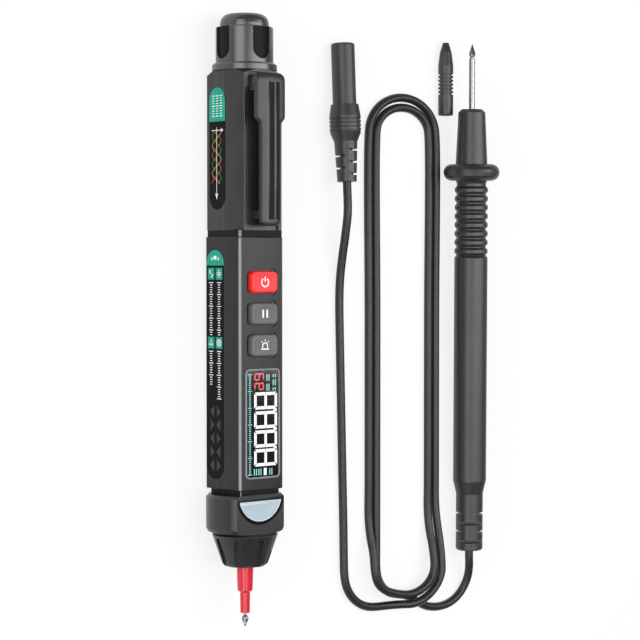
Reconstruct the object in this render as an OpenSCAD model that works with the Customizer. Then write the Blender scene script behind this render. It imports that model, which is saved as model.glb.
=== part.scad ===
// Pen multimeter lying on its back, display up, with its test lead laid beside it.
// The pen runs along Y with the probe tip at -Y. Z = 0 is the table. All sizes in millimetres.

/* [Stance] */
// Height of the pen's axis above the table
axis_z = 11.1; // [10.7:0.1:11.4]

/* [Lower body] */
// Width and depth of the square lower body
lower_side = 19.4; // [18.6:0.1:20]
// Where the lower body meets the collar
lower_start_y = -56.3; // [-56.8:0.1:-55.8]
// Plain length of the lower body beyond its last key
lower_plain_len = 11.6; // [11.2:0.1:12]
// Flat of each bright corner bevel
lower_bevel = 0.95; // [0.6:0.05:1.4]
// Wall of the body shells
shell_wall = 1.4; // [1.2:0.05:1.6]
// Height of the seam between front and rear shells, from the axis
seam_drop = 3.3; // [2.8:0.1:3.8]
// Width of the flat spine that the pen lies on
spine_w = 12.6; // [9:0.2:13]

/* [Upper body] */
// Half width of the upper body at its front face
upper_top_half = 8.6; // [8.2:0.1:9]
// Half width of the upper body at its widest line
upper_mid_half = 9.7; // [9.4:0.05:10]
// Half width of the upper body at its rear face
upper_low_half = 9.4; // [9:0.05:9.7]
// Height of the upper body's front face above the axis
upper_top = 10.3; // [10:0.1:10.8]
// Height of the upper body's widest line above the axis
upper_mid = 1.8; // [1:0.1:2.6]
// Depth of the upper body's rear face below the axis
upper_low = 9.6; // [9.4:0.1:9.8]
// Width of the groove between the lower and the upper body
upper_gap = 2.2; // [1.8:0.1:2.6]
// Length of the upper body up to the neck ring
upper_len = 53.8; // [53.4:0.1:54.2]
// Small bevel along the upper body's corners
upper_bevel = 1; // [0.6:0.1:1.4]
// Radius of the upper body where its shoulder meets the neck ring
shoulder_r = 10.6; // [10.2:0.1:11]
// Length of the rounded shoulder
shoulder_len = 3.3; // [2.6:0.1:4]
// Depth of the shallow pocket under the clip
clip_pocket_deep = 0.8; // [0.5:0.1:1]
// Half width of the pocket under the clip
clip_pocket_half = 6.4; // [6.1:0.1:6.8]

/* [Labels] */
// Thickness of the glued label inlays
label_t = 0.45; // [0.3:0.05:0.6]
// Height of the lower label across the side face
lower_label_w = 9.9; // [9:0.1:10.2]
// Distance of the lower label from the body's end by the collar
lower_label_in = 3.2; // [2.4:0.1:4]
// Distance of the lower label from the body's other end
lower_label_out = 4.4; // [3.8:0.1:5]
// Height of the upper label across the side face
upper_label_w = 9; // [8:0.1:9.6]
// Distance of the upper label from the upper body's start
upper_label_in = 7; // [6:0.1:8]
// Distance of the upper label from the neck ring
upper_label_out = 5.8; // [5.3:0.1:7.8]

/* [Head] */
// Outer radius of the neck ring
ring_r = 11; // [10.8:0.05:11]
// Length of the neck ring
ring_len = 2.4; // [2:0.1:3]
// Outer radius of the slotted head nut
nut_r = 9.75; // [9.4:0.05:10]
// Length of the head nut
nut_len = 12.3; // [11:0.1:13]
// Width of each U-shaped slot in the nut
nut_slot_w = 7; // [5:0.1:7.6]
// Wall left between a slot's floor and the barrel
nut_floor_wall = 0.6; // [0.5:0.05:0.9]
// Radius of the head barrel
barrel_r = 8.3; // [8:0.05:8.5]
// Length of the head beyond the upper body
head_len = 19.2; // [18.6:0.1:20]
// Rounding of the barrel's end
barrel_round = 3.4; // [2.5:0.1:3.7]
// Radius of the well that takes the plug's shroud
well_r = 4.45; // [4.35:0.05:4.6]
// Depth of the plug well
well_deep = 20.8; // [19:0.1:21.2]

/* [Clip] */
// Half width of the clip's root
clip_root_half = 5.7; // [5.4:0.1:6]
// Half width of the clip's arm
clip_arm_half = 4.1; // [3.7:0.1:4.5]
// Height of the clip's top face above the axis
clip_top = 15; // [14.6:0.1:15.4]
// Thickness of the clip's arm
clip_t = 2; // [1.8:0.05:2.2]
// Distance of the clip's free end from the upper body's start
clip_free_in = 1.3; // [0.8:0.1:3]
// Distance of the clip's root from the neck ring
clip_root_in = 1.3; // [1:0.1:1.8]
// Distance of the hinge pin from the end of the clip's root
clip_pin_in = 4.2; // [3.9:0.1:4.5]
// Height of the hinge pin above the axis
clip_pin_up = 12; // [11.8:0.1:12.3]
// Radius of the hinge pin
clip_pin_r = 0.8; // [0.6:0.05:1]

/* [Keys] */
// Width of a key across the body
key_w = 10.9; // [10:0.1:11.4]
// Length of a key along the body
key_l = 7.1; // [6.6:0.1:7.5]
// Corner radius of a key
key_round = 1.5; // [1:0.1:2]
// How far a key stands above the front face
key_proud = 1.9; // [1.4:0.1:2.2]
// Travel of a key
key_travel = 0.6; // [0.4:0.05:0.7]
// Gap around a key in its opening
key_gap = 0.25; // [0.2:0.05:0.35]
// Distance from the display's bezel to the nearest key
key_bezel_gap = 4.3; // [4.1:0.05:4.6]
// Centre distance from one key to the next
key_pitch = 10.6; // [10.3:0.05:10.8]

/* [Display] */
// Width of the display bezel
bezel_w = 14.7; // [14:0.1:15.2]
// Length of the display bezel
bezel_l = 37; // [36:0.1:37.4]
// Distance of the bezel from the lower body's start
bezel_in = 3.9; // [3.6:0.1:4.2]
// Width of the bezel's rim
bezel_rim = 0.9; // [0.7:0.05:1.2]
// Corner radius of the bezel
bezel_round = 1.6; // [1:0.1:2]
// How far the bezel stands above the front face
bezel_proud = 0.35; // [0.2:0.05:0.6]

/* [Collar and nose] */
// Radius of the round collar
collar_r = 13.25; // [12.8:0.05:13.5]
// Width of the groove between the lower body and the collar
collar_gap = 1.8; // [1.5:0.1:2.1]
// Length of the collar
collar_len = 13.1; // [12.5:0.1:13.6]
// Height of the collar's front flat above the axis
collar_flat = 8.5; // [8.2:0.1:8.8]
// Width of the half-moon lens
lens_w = 17.7; // [17.2:0.1:18]
// Height of the half-moon lens along the body
lens_h = 6.9; // [6.6:0.1:7.2]
// Nose cone radius at the collar
nose_big_r = 11.2; // [10.8:0.05:11.5]
// Nose cone radius at the tip
nose_small_r = 7.75; // [7.4:0.05:8]
// Length of the nose cone
nose_len = 11.5; // [11:0.1:12]
// Depth of the flutes round the nose
flute_deep = 1.1; // [0.7:0.05:1.3]

/* [Tip] */
// Radius of the red sleeve at the nose
sleeve_big_r = 2.9; // [2.7:0.05:3.1]
// Length of the red sleeve's thick part
sleeve_len = 8.5; // [8:0.1:9]
// Radius of the red sleeve's slim part
sleeve_slim_r = 1.75; // [1.6:0.05:1.9]
// Length of the red sleeve's slim part
sleeve_slim_len = 7.7; // [7:0.1:8]
// Radius of the bright tip's bulb
bulb_r = 1.2; // [1.1:0.05:1.3]
// Radius of the tip rod
tip_rod_r = 0.8; // [0.7:0.05:0.9]

/* [Inside] */
// Radius of a battery
cell_r = 5.1; // [5:0.05:5.15]
// Length of a battery
cell_len = 44.5; // [44:0.1:44.6]
// Depth of the batteries' centre line below the axis
cell_drop = 2.9; // [2.8:0.05:3]
// Width of the circuit board
board_w = 15.4; // [15:0.1:15.8]
// Thickness of the circuit board
board_t = 1; // [0.8:0.1:1]
// Height of the board's top face above the axis
board_top = 3.6; // [3.5:0.05:3.8]
// Radius of the buzzer
buzzer_r = 4.5; // [4:0.1:5]

/* [Plug] */
// Outer radius of the plug's shroud
shroud_r = 4.22; // [4.1:0.02:4.25]
// Inner radius of the plug's shroud
shroud_bore_r = 3.4; // [3.35:0.01:3.5]
// Length of the shroud outside the boot
shroud_len = 21.7; // [20:0.1:22]
// Radius of the plug's pin
plug_pin_r = 1.95; // [1.9:0.01:1.97]
// Largest radius of the plug's boot
boot_r = 5.6; // [5.3:0.05:5.8]
// Length of the plug's boot
boot_len = 27.4; // [26:0.1:28]
// Across position of the plug on the table
plug_x = 49.6; // [48:0.1:51]
// Where the shroud's open end lies
plug_end_y = 97.9; // [97:0.1:98.5]

/* [Probe] */
// Radius of the probe handle
handle_r = 6.2; // [6:0.05:6.4]
// Radius of the finger guard
guard_r = 10.45; // [10:0.05:10.6]
// Radius of the probe needle
needle_r = 1.1; // [1:0.05:1.15]
// Number of grip rings
ring_count = 8; // [6:1:8]
// Distance from one grip ring to the next
ring_pitch = 3.25; // [3:0.05:3.3]
// Across position of the finger guard on the table
probe_x = 107.4; // [106.9:0.1:108]
// Turn of the probe on the table
probe_yaw = 1.7; // [1.5:0.1:1.9]

/* [Tip cap] */
// Radius of the needle's tip cap
cap_r = 2.8; // [2.7:0.05:2.9]
// Length of the tip cap
cap_len = 27; // [26:0.1:28]
// Across position of the cap on the table
cap_x = 101.4; // [101:0.1:101.6]
// Where the cap's pointed end lies
cap_end_y = 101.8; // [101:0.1:102.5]

/* [Cable] */
// Diameter of the lead's cable
cable_d = 3.1; // [2.9:0.05:3.1]
// Distance between neighbouring strands of the loops
loop_pitch = 3.65; // [3.6:0.05:3.7]
// Half width of the outer loop on the table
loop_half_x = 16.5; // [16:0.1:17]
// Half length of the outer loop's round ends
loop_half_y = 13.3; // [13:0.1:14]
// Middle of the loops across the table
loop_x = 80.9; // [80:0.1:81]
// Centre of the loops' round end by the plug
loop_top_y = 67.2; // [66:0.1:68]
// Centre of the loops' round end by the tip
loop_low_y = -92.3; // [-93:0.1:-92]

/* [Hidden] */
$fn = 64;

// Overrun of every cutter past the face that it cuts
over = 1;
// Gap between two fixed pieces that nest
fit = 0.1;
// Gap that a moving piece keeps from a fixed one
clear = 0.25;
// Reach of the blocks that only select one side of a piece
far = 60;

// Places along the pen, each from the one before it
display_y = lower_start_y + bezel_in + bezel_l / 2;
power_key_y = display_y + bezel_l / 2 + key_bezel_gap + key_l / 2 + 2 * key_pitch;
lower_end_y = power_key_y + key_l / 2 + lower_plain_len;
upper_start_y = lower_end_y + upper_gap;
upper_end_y = upper_start_y + upper_len;
head_end_y = upper_end_y + head_len;
collar_start_y = lower_start_y - collar_gap;
function key_y(i) = power_key_y - i * key_pitch;

// Lower body
lower_half = lower_side / 2;
spine_bevel = 0.6;
spigot_deep = 4;
spigot_wall = 1.2;
groove_deep = 0.5;
board_ledge = 0.7;
ledge_h = 1.2;
screw_x = 6.8;
screw_r = 0.7;
screw_head_r = 1.25;
screw_head_h = 1;
screw_boss_r = 1.35;
key_flange = 0.6;
screw_gap = 0.2;
screw_key_reach = key_l / 2 + key_flange + key_gap + screw_boss_r + screw_gap;
screw_front_y = key_y(0) + screw_key_reach;
screw_rear_y = key_y(2) - screw_key_reach;
screw_bite = 5;
screw_seat = 0.4;
recess_margin = 1.1;
recess_deep = 0.6;

// Upper body
ring_start_y = upper_end_y;
shoulder_reach = 5;
lip_y = upper_end_y - shoulder_len;
door_start_in = 2.4;
door_end_in = 4.9;
door_start_y = upper_start_y + door_start_in;
door_end_y = upper_end_y - door_end_in;
door_low = -8.35;
door_high = 2.6;
door_gap = 0.2;
door_rib_w = 0.8;
door_rib_pitch = 2;
door_rib_count = 4;
door_rib_high = 0.3;
door_lug_w = 5;
door_lug_h = 1;
door_lug_in = 1.6;

// Labels
lower_label_start_y = lower_start_y + lower_label_in;
lower_label_end_y = lower_end_y - lower_label_out;
upper_label_start_y = upper_start_y + upper_label_in;
upper_label_end_y = upper_end_y - upper_label_out;
lower_label_up = -3.8;
upper_label_up = -2.7;
label_gap = 0.05;
label_x = lower_half - label_t;
side_tilt = atan((upper_mid_half - upper_low_half) / (upper_mid + upper_low));
upper_face_x = upper_mid_half - (upper_mid - upper_label_up) * tan(side_tilt);

// Head
nut_y = ring_start_y + ring_len;
nut_end_y = nut_y + nut_len;
nut_slot_y = nut_y + 0.1 * nut_len;
nut_bevel = 0.4;
ring_bevel = 0.6;
barrel_foot_y = lip_y - 0.3;
well_floor_y = head_end_y - well_deep;
barrel_arc_n = 6;
socket_r = 2.7;
socket_bore_r = 2;
socket_wall = 0.5;
socket_short = 1;
socket_tail_r = 1.2;
tail_end_y = barrel_foot_y - fit;
strap_t = 0.4;
strap_w = 2.4;
strap_up = 5.6;
strap_foot_in = 8.2;
strap_foot_y = lower_end_y - strap_foot_in;

// Clip
clip_free_y = upper_start_y + clip_free_in;
clip_root_y = upper_end_y - clip_root_in;
clip_pin_y = clip_root_y - clip_pin_in;
clip_root_len = 6;
clip_root_gap = 0.35;
clip_wide_in = 15.2;
clip_neck_len = 2;
clip_wide_y = clip_root_y - clip_wide_in;
clip_narrow_y = clip_wide_y - clip_neck_len;
clip_rib_x = 1.5;
clip_rib_w = 0.8;
clip_rib_h = 0.35;
clip_round = 1.6;
clip_edge = 0.5;
clip_lug_half = 2.4;
clip_lug_r = 1.9;
clip_foot_in = 2.7;
clip_foot_y = clip_free_y + clip_foot_in;
clip_foot_len = 2.4;
pocket_floor = upper_top - clip_pocket_deep;
clip_slot_half = clip_lug_half + clear;
spring_r = 1.1;
spring_hole_r = 0.7;
spring_y = clip_pin_y + clip_lug_r + spring_r + fit;

// Keys
key_flange_t = 0.8;
key_edge = 0.5;
wall_under = lower_half - shell_wall;
key_flange_top = wall_under - 0.2;
switch_side = 6;
switch_h = 1.6;
plunger_r = 1.2;
plunger_h = 0.2;
stem_r = 1.6;
stem_low = board_top + switch_h + plunger_h + key_travel + fit;

// Display
window_up = lower_half + 0.1;
window_t = 1.3;
glass_t = 1.6;
glass_gap = 0.2;
glass_top = wall_under - glass_gap;
display_margin = 0.5;

// Inside the body
board_start_in = 6.3;
board_end_in = 4.5;
board_start_y = lower_start_y + board_start_in;
board_end_y = lower_end_y - board_end_in;
contact_t = 0.4;
contact_half = 7.8;
battery_spring_len = 1.1;
cell_1_end_y = tail_end_y - 2 * strap_t - contact_t / 2 - battery_spring_len;
cell_1_start_y = cell_1_end_y - cell_len;
cell_gap = 0.2;
cell_nub_r = 1.9;
cell_nub_h = 0.8;
cell_edge = 0.4;
cell_2_end_y = cell_1_start_y - cell_gap;
cell_2_start_y = cell_2_end_y - cell_len;
spring_coil_r = 3.2;
spring_coil_wall = 0.6;
buzzer_h = 3.8;
buzzer_in = 6.6;
buzzer_y = display_y + bezel_l / 2 - buzzer_in;
buzzer_hole_r = 0.9;
chip_side = 8;
chip_h = 1.4;
chip_in = 2.1;
chip_y = display_y - chip_in;
part_w = 2.2;
part_h = 1.1;
part_x = 4.5;
part_pitch = 3.4;
part_count = 2;

// Collar and nose
collar_end_y = collar_start_y - collar_len;
collar_bore_r = 7;
collar_bevel = 1;
collar_foot_round = 1.7;
spigot_end_y = lower_start_y + spigot_deep;
lens_in = 2;
lens_chord_y = collar_start_y - lens_in;
lens_t = 1.4;
lens_proud = 0.25;
lens_gap = 0.08;
lens_r = (lens_w * lens_w / 4 + lens_h * lens_h) / (2 * lens_h);
lens_rim = 0.8;
lamp_well_half = 4.5;
lamp_board_t = 1;
lamp_board_up = 4;
lamp_board_gap = 0.12;
lamp_w = 5;
lamp_l = 3;
lamp_h = 1.4;
nose_end_y = collar_end_y - nose_len;
nose_bore_r = 3.1;
nose_face_round = 0.8;
flute_count = 8;
flute_w = 3.6;
flute_top_w = 2.4;
flute_head_share = 0.78;
nose_slope = atan((nose_big_r - nose_small_r) / nose_len);
torch_turn = 38;
torch_out = 6.3;
torch_r = 1.5;
torch_notch = 3.4;
torch_notch_len = 5.2;
torch_len = 5;
torch_lens_t = 0.8;

// Tip
sleeve_root_len = 6;
sleeve_root_r = 2.9;
sleeve_bore_gap = 0.05;
sleeve_taper_share = 0.9;
sleeve_end_y = nose_end_y - sleeve_len;
sleeve_step = 0.8;
slim_end_y = sleeve_end_y - sleeve_slim_len;
slim_taper_share = 0.93;
tip_neck_r = 0.5;
tip_neck_len = 1.3;
bulb_len = 3.8;
tip_end_y = slim_end_y - tip_neck_len - bulb_len;
vane_w = 0.45;
vane_core_r = 0.45;
rod_head_r = 1.7;
rod_head_len = 1.6;
rod_head_y = nose_end_y + sleeve_root_len;
tip_spring_r = 1.8;
tip_spring_wall = 0.4;

// Plug
plug_tilt = 2.8;
boot_front_r = 4.95;
boot_waist_r = 4.15;
boot_tail_r = 3.45;
boot_cone_len = 4.2;
boot_rib_len = 5.6;
boot_rib_count = 4;
boot_rib_deep = 0.35;
boot_waist_len = 3.4;
boot_slot_count = 5;
boot_slot_w = 0.85;
boot_slot_pitch = 2.15;
boot_slot_start = 3.4;
boot_core_r = 2.3;
boot_web_half = 0.5;
// Turn of the slots about the lead, so that they open to both sides of the photograph's view
boot_turn = 50;
shroud_wall_end = 2;
shroud_round = 0.5;
shroud_root_r = 3.9;
plug_pin_len = 18.5;
plug_pin_root_r = 1.5;
plug_len = shroud_len + boot_len;

// Probe
probe_tilt = 2.1;
needle_len = 24.2;
needle_root_r = 0.8;
needle_bulb_r = 1.25;
needle_bulb_len = 5;
needle_neck_len = 0.6;
nose_front_r = 5;
nose_back_r = 5.9;
nose_cone_len = 20.3;
nose_round = 1.2;
guard_len = 6.2;
grip_groove_r = 5.45;
ring_round = 1;
grip_len = ring_count * ring_pitch;
handle_len = 84.7;
handle_tail_len = 5.9;
handle_tail_r = 5.05;
probe_boot_len = 20.4;
boot_cut_w = 1.1;
boot_cut_deep = 2.5;
boot_cut_pitch = 3.45;
boot_cut_start = 6;
boot_cut_count = 4;
// Place of the finger guard's middle along the table
guard_y = 53.6;

// Tip cap
cap_tip_r = 1.1;
cap_ogive_len = 8.4;
cap_bore_deep = 22;
cap_groove_deep = 0.55;
cap_groove_count = 6;
cap_groove_pitch = 1.4;
cap_groove_w = 0.7;
cap_groove_start = 11.6;
cap_end_bevel = 0.4;

// Cable
cable_r = cable_d / 2;
lift = 3.62;
low_z = cable_r;
high_z = cable_r + lift;
loop_join_y = -60;
loop_steps = 10;
inner_half_x = loop_half_x - loop_pitch;
inner_half_y = loop_half_y - loop_pitch;
swing_share = 0.4;
ramp_shares = [0.75, 0.5, 0.25];
ramp_len = 26;

// Route of the cable from the plug's boot to the outer loop, round numbers chosen by hand
plug_route = [
    [49.6, 38, 7.0], [49.7, 30, 5.6], [49.9, 22, 3.7], [50.1, 14, 2.2], [50.3, 6, 1.6], [50.5, -4, 1.55],
    [50.8, -16, 1.55], [51.1, -28, 1.55], [51.4, -40, 1.55], [51.7, -52, 1.55], [52, -64, 1.55], [52.3, -76, 1.55],
    [52.5, -87, 1.55], [52.7, -92, 1.55], [53.7, -96.6, 1.55], [56.2, -100.6, 1.55], [59.8, -103.5, 1.55],
    [64, -105.1, 1.55], [68.5, -105.6, 1.55], [73, -105.7, 1.6], [76.4, -105.7, 2.2], [79.6, -105.7, 3.4],
    [82.8, -105.7, 4.8], [86.3, -105, 5.2], [90.1, -103.5, 5.2], [93.5, -101.2, 5.2], [96, -98.3, 5.2],
    [97.4, -94.8, 5.2], [97.5, -90, 5], [97.4, -84, 4.2], [97.4, -78, 2.9], [97.4, -72, 1.9], [97.4, -66, 1.55]
];
// Route of the cable from the inner loop to the probe's boot
probe_route = [
    [68.05, -66, 1.55], [68.05, -76, 1.55], [68.05, -86, 1.55], [68.1, -91, 1.55], [68.9, -95.2, 1.55],
    [71.1, -98.6, 1.55], [74.4, -101, 1.55], [78.3, -102, 1.55], [82, -102.7, 1.55], [85.4, -104.1, 1.55],
    [88.9, -106.1, 1.55], [92.6, -107.8, 1.55], [97, -108.7, 1.55], [101.4, -108.7, 1.55], [105.6, -107.7, 1.55],
    [109.4, -105.6, 1.6], [111.9, -102.3, 2.2], [112.8, -98.2, 3.4], [112.2, -93.9, 4.7]
];

// Sections are drawn as (across, up from the axis) and run along Y
module along(y0, y1) {
    translate([0, y1, axis_z]) rotate([90, 0, 0]) linear_extrude(y1 - y0) children();
}

// Turned pieces are drawn as (radius, place along Y)
module turned(outline, y = 0, up = axis_z, x = 0) {
    translate([x, y, up]) rotate([-90, 0, 0]) rotate_extrude() polygon(outline);
}

// A plain rod or, with a bore, a tube along Y
module rod(r, y0, y1, bore = 0, x = 0, up = 0) {
    translate([x, y0, axis_z + up]) rotate([-90, 0, 0]) difference() {
        cylinder(r = r, h = y1 - y0);
        if (bore > 0) translate([0, 0, -over]) cylinder(r = bore, h = y1 - y0 + 2 * over);
    }
}

// A box given by its low and high edges, heights from the axis
module block(x0, x1, y0, y1, up0, up1) {
    translate([x0, y0, axis_z + up0]) cube([x1 - x0, y1 - y0, up1 - up0]);
}

// A rectangle with round corners
module rounded(w, l, r) {
    square([w - 2 * r, l], center = true);
    square([w, l - 2 * r], center = true);
    for (sx = [-1, 1], sy = [-1, 1]) translate([sx * (w / 2 - r), sy * (l / 2 - r)]) circle(r);
}

// A round-cornered plate that faces up, heights from the axis
module plate(w, l, r, y, up0, up1) {
    translate([0, y, axis_z + up0]) linear_extrude(up1 - up0) rounded(w, l, r);
}

// A plate with round ends on the left side face
module side_plate(w, y0, y1, up, x0, x1) {
    translate([-x1, 0, axis_z + up]) rotate([0, 90, 0]) linear_extrude(x1 - x0) {
        translate([-w / 2, y0 + w / 2]) square([w, y1 - y0 - w]);
        for (y = [y0 + w / 2, y1 - w / 2]) translate([0, y]) circle(w / 2);
    }
}

module lower_section(inset = 0) {
    h = lower_half - inset;
    b = max(lower_bevel - inset / 2, fit);
    polygon([
        [h - b, h], [h, h - b], [h, b - h], [h - b, -h], [b - h, -h], [-h, b - h], [-h, h - b], [b - h, h]
    ]);
}

module upper_section(inset = 0) {
    t = upper_top_half - inset;
    m = upper_mid_half - inset;
    l = upper_low_half - inset;
    high = upper_top - inset;
    low = upper_low - inset;
    b = max(upper_bevel - inset / 2, fit);
    right = [[t - b, high], [t, high - b], [m, upper_mid], [l, b - low], [l - b, -low]];
    polygon(concat(right, [for (i = [len(right) - 1:-1:0]) [-right[i].x, right[i].y]]));
}

// The flat spine along the back, that the pen lies on
module spine_section(floor_up) {
    s = spine_w / 2;
    polygon([
        [s - spine_bevel, -axis_z], [s, spine_bevel - axis_z], [s, floor_up],
        [-s, floor_up], [-s, spine_bevel - axis_z], [spine_bevel - s, -axis_z]
    ]);
}

module front_half() {
    intersection() {
        children();
        block(-far, far, -2 * far, 2 * far, -seam_drop, far);
    }
}

module rear_half() {
    intersection() {
        children();
        block(-far, far, -2 * far, 2 * far, -far, -seam_drop);
    }
}

module lower_tube() {
    along(lower_start_y, lower_end_y) difference() {
        lower_section();
        lower_section(shell_wall);
    }
}

module screw_places() {
    for (x = [-screw_x, screw_x], y = [screw_rear_y, screw_front_y]) translate([x, y, 0]) children();
}

module lower_front_shell() {
    color([0.17, 0.17, 0.18]) difference() {
        union() {
            front_half() lower_tube();
            for (s = [-1, 1]) {
                x0 = board_w / 2 - board_ledge;
                ends = [s * x0, s * (wall_under + fit)];
                block(min(ends), max(ends), board_start_y, board_end_y, board_top, board_top + ledge_h);
            }
            front_half() screw_places()
                translate([0, 0, axis_z - seam_drop]) cylinder(r = screw_boss_r, h = wall_under + seam_drop + fit);
        }
        for (i = [0:2]) {
            plate(key_w + 2 * recess_margin, key_l + 2 * recess_margin, key_round + recess_margin,
                key_y(i), lower_half - recess_deep, lower_half + over);
            plate(key_w + 2 * key_gap, key_l + 2 * key_gap, key_round + key_gap,
                key_y(i), wall_under - ledge_h, lower_half + over);
            plate(key_w + 2 * key_flange + 2 * key_gap, key_l + 2 * key_flange + 2 * key_gap,
                key_round + key_flange, key_y(i), board_top, wall_under);
        }
        plate(bezel_w + 2 * fit, bezel_l + 2 * fit, bezel_round + fit, display_y, board_top, lower_half + over);
        screw_places() translate([0, 0, axis_z - seam_drop - over])
            cylinder(r = screw_r + fit, h = over + screw_bite);
        label_pocket(lower_label_w, lower_label_start_y, lower_label_end_y, lower_label_up);
    }
}

module label_pocket(w, y0, y1, up) {
    side_plate(w + 2 * label_gap, y0 - label_gap, y1 + label_gap, up, label_x - label_gap, lower_half + over);
}

module lower_rear_shell() {
    color([0.15, 0.15, 0.16]) difference() {
        union() {
            rear_half() lower_tube();
            along(lower_start_y, lower_end_y) spine_section(shell_wall - lower_half);
            screw_places() translate([0, 0, axis_z - lower_half + fit])
                cylinder(r = screw_boss_r, h = lower_half - seam_drop - fit - screw_seat);
        }
        screw_places() translate([0, 0, -over]) cylinder(r = screw_r + fit, h = axis_z + over);
        screw_places() translate([0, 0, -over])
            cylinder(r = screw_head_r + fit, h = axis_z - lower_half + screw_head_h + fit + over);
        rod(cell_r + fit, cell_2_start_y - over, lower_end_y + over, up = -cell_drop);
        label_pocket(lower_label_w, lower_label_start_y, lower_label_end_y, lower_label_up);
    }
}

// Shoulder that every section of the upper body is trimmed to
module shoulder_cone() {
    turned([
        [0, upper_start_y - far], [far, upper_start_y - far], [far, lip_y - shoulder_reach],
        [shoulder_r + shoulder_reach, lip_y], [shoulder_r + shoulder_len * 0.6, lip_y + shoulder_len * 0.55],
        [shoulder_r, upper_end_y], [0, upper_end_y]
    ]);
}

module upper_tube() {
    inset_in = shell_wall + fit;
    difference() {
        union() {
            intersection() {
                along(upper_start_y, upper_end_y) upper_section();
                shoulder_cone();
            }
            along(lower_end_y, upper_start_y) lower_section(groove_deep);
            along(lower_end_y - spigot_deep, lower_end_y) lower_section(inset_in);
        }
        along(upper_start_y + spigot_wall, lip_y) upper_section(shell_wall);
        along(lower_end_y - spigot_deep - over, upper_start_y + spigot_wall + over)
            lower_section(inset_in + spigot_wall);
        rod(barrel_r + fit, barrel_foot_y - over, upper_end_y + over);
        rod(cell_r + fit, lower_end_y - spigot_deep - over, upper_start_y + 2 * spigot_wall, up = -cell_drop);
    }
}

// Outline of the battery door seen from the side, grown by a gap
module door_space(grow) {
    block(0, far, door_start_y - grow, door_end_y + grow, door_low - grow, door_high + grow);
}

module upper_front_shell() {
    color([0.2, 0.2, 0.21]) difference() {
        union() {
            difference() {
                front_half() upper_tube();
                block(-clip_pocket_half, clip_pocket_half, upper_start_y - over, clip_root_y + clip_root_gap,
                    pocket_floor, far);
            }
            block(-clip_lug_half, clip_lug_half, clip_pin_y - clip_lug_r, clip_pin_y + clip_lug_r,
                pocket_floor - fit, clip_pin_up);
            translate([-clip_lug_half, clip_pin_y, axis_z + clip_pin_up]) rotate([0, 90, 0])
                cylinder(r = clip_lug_r, h = 2 * clip_lug_half);
        }
        door_space(0);
        translate([-clip_root_half - over, clip_pin_y, axis_z + clip_pin_up]) rotate([0, 90, 0])
            cylinder(r = clip_pin_r, h = 2 * clip_root_half + 2 * over);
        upper_label_pocket();
    }
}

module upper_rear_shell() {
    color([0.18, 0.18, 0.19]) difference() {
        union() {
            rear_half() upper_tube();
            intersection() {
                along(upper_start_y, upper_end_y) spine_section(shell_wall - upper_low);
                shoulder_cone();
            }
        }
        door_space(0);
        rod(barrel_r + fit, barrel_foot_y - over, upper_end_y + over);
        upper_label_pocket();
    }
}

// The upper label lies on the slightly leaning side face
module on_upper_side() {
    translate([-upper_face_x, 0, axis_z + upper_label_up]) rotate([0, -side_tilt, 0])
        translate([upper_face_x, 0, -axis_z - upper_label_up]) children();
}

module upper_label_pocket() {
    on_upper_side() side_plate(upper_label_w + 2 * label_gap, upper_label_start_y - label_gap,
        upper_label_end_y + label_gap, upper_label_up, upper_face_x - label_t - label_gap, upper_face_x + over);
}

module upper_label() {
    color([0.03, 0.03, 0.03]) on_upper_side() side_plate(upper_label_w, upper_label_start_y,
        upper_label_end_y, upper_label_up, upper_face_x - label_t, upper_face_x);
}

module lower_label() {
    color([0.03, 0.03, 0.03]) side_plate(lower_label_w, lower_label_start_y, lower_label_end_y,
        lower_label_up, label_x, lower_half);
}

module battery_door() {
    color([0.19, 0.19, 0.2]) {
        intersection() {
            along(upper_start_y, lip_y) difference() {
                upper_section();
                upper_section(shell_wall - fit);
            }
            door_space(-door_gap);
        }
        for (i = [0:door_rib_count - 1])
            block(upper_low_half, upper_mid_half + door_rib_high,
                door_end_y - door_rib_pitch * (i + 2), door_end_y - door_rib_pitch * (i + 2) + door_rib_w,
                door_low + door_rib_pitch, door_high - door_rib_pitch);
        for (y = [door_start_y + door_lug_w, door_end_y - 2 * door_lug_w])
            block(upper_low_half - shell_wall - door_lug_in, upper_mid_half - shell_wall + fit,
                y, y + door_lug_w, door_high - 2 * door_lug_h, door_high - door_lug_h);
    }
}

module neck_ring() {
    color([0.16, 0.16, 0.17]) turned([
        [barrel_r + fit, ring_start_y], [ring_r, ring_start_y], [ring_r, nut_y - ring_bevel],
        [ring_r - ring_bevel, nut_y], [barrel_r + fit, nut_y]
    ]);
}

module head_nut() {
    slot_r = barrel_r + fit + nut_floor_wall;
    color([0.14, 0.14, 0.15]) difference() {
        turned([
            [barrel_r + fit, nut_y], [nut_r, nut_y], [nut_r, nut_end_y - nut_bevel],
            [nut_r - nut_bevel, nut_end_y], [barrel_r + fit, nut_end_y]
        ]);
        intersection() {
            rod(nut_r + over, nut_slot_y, nut_end_y + over, bore = slot_r);
            union() {
                for (turn = [0, 90]) translate([0, 0, axis_z]) rotate([0, turn, 0])
                    translate([0, 0, -nut_r - over]) linear_extrude(2 * (nut_r + over)) {
                        translate([0, nut_slot_y + nut_slot_w / 2]) circle(nut_slot_w / 2);
                        translate([-nut_slot_w / 2, nut_slot_y + nut_slot_w / 2])
                            square([nut_slot_w, nut_len]);
                    }
            }
        }
    }
}

module head_barrel() {
    arc = [for (i = [0:barrel_arc_n]) let (a = 90 * i / barrel_arc_n)
        [barrel_r - barrel_round + barrel_round * cos(a), head_end_y - barrel_round + barrel_round * sin(a)]];
    color([0.1, 0.1, 0.11]) turned(concat(
        [[socket_tail_r, barrel_foot_y], [barrel_r, barrel_foot_y]], arc,
        [[well_r, head_end_y], [well_r, well_floor_y], [socket_tail_r, well_floor_y]]
    ));
}

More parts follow.
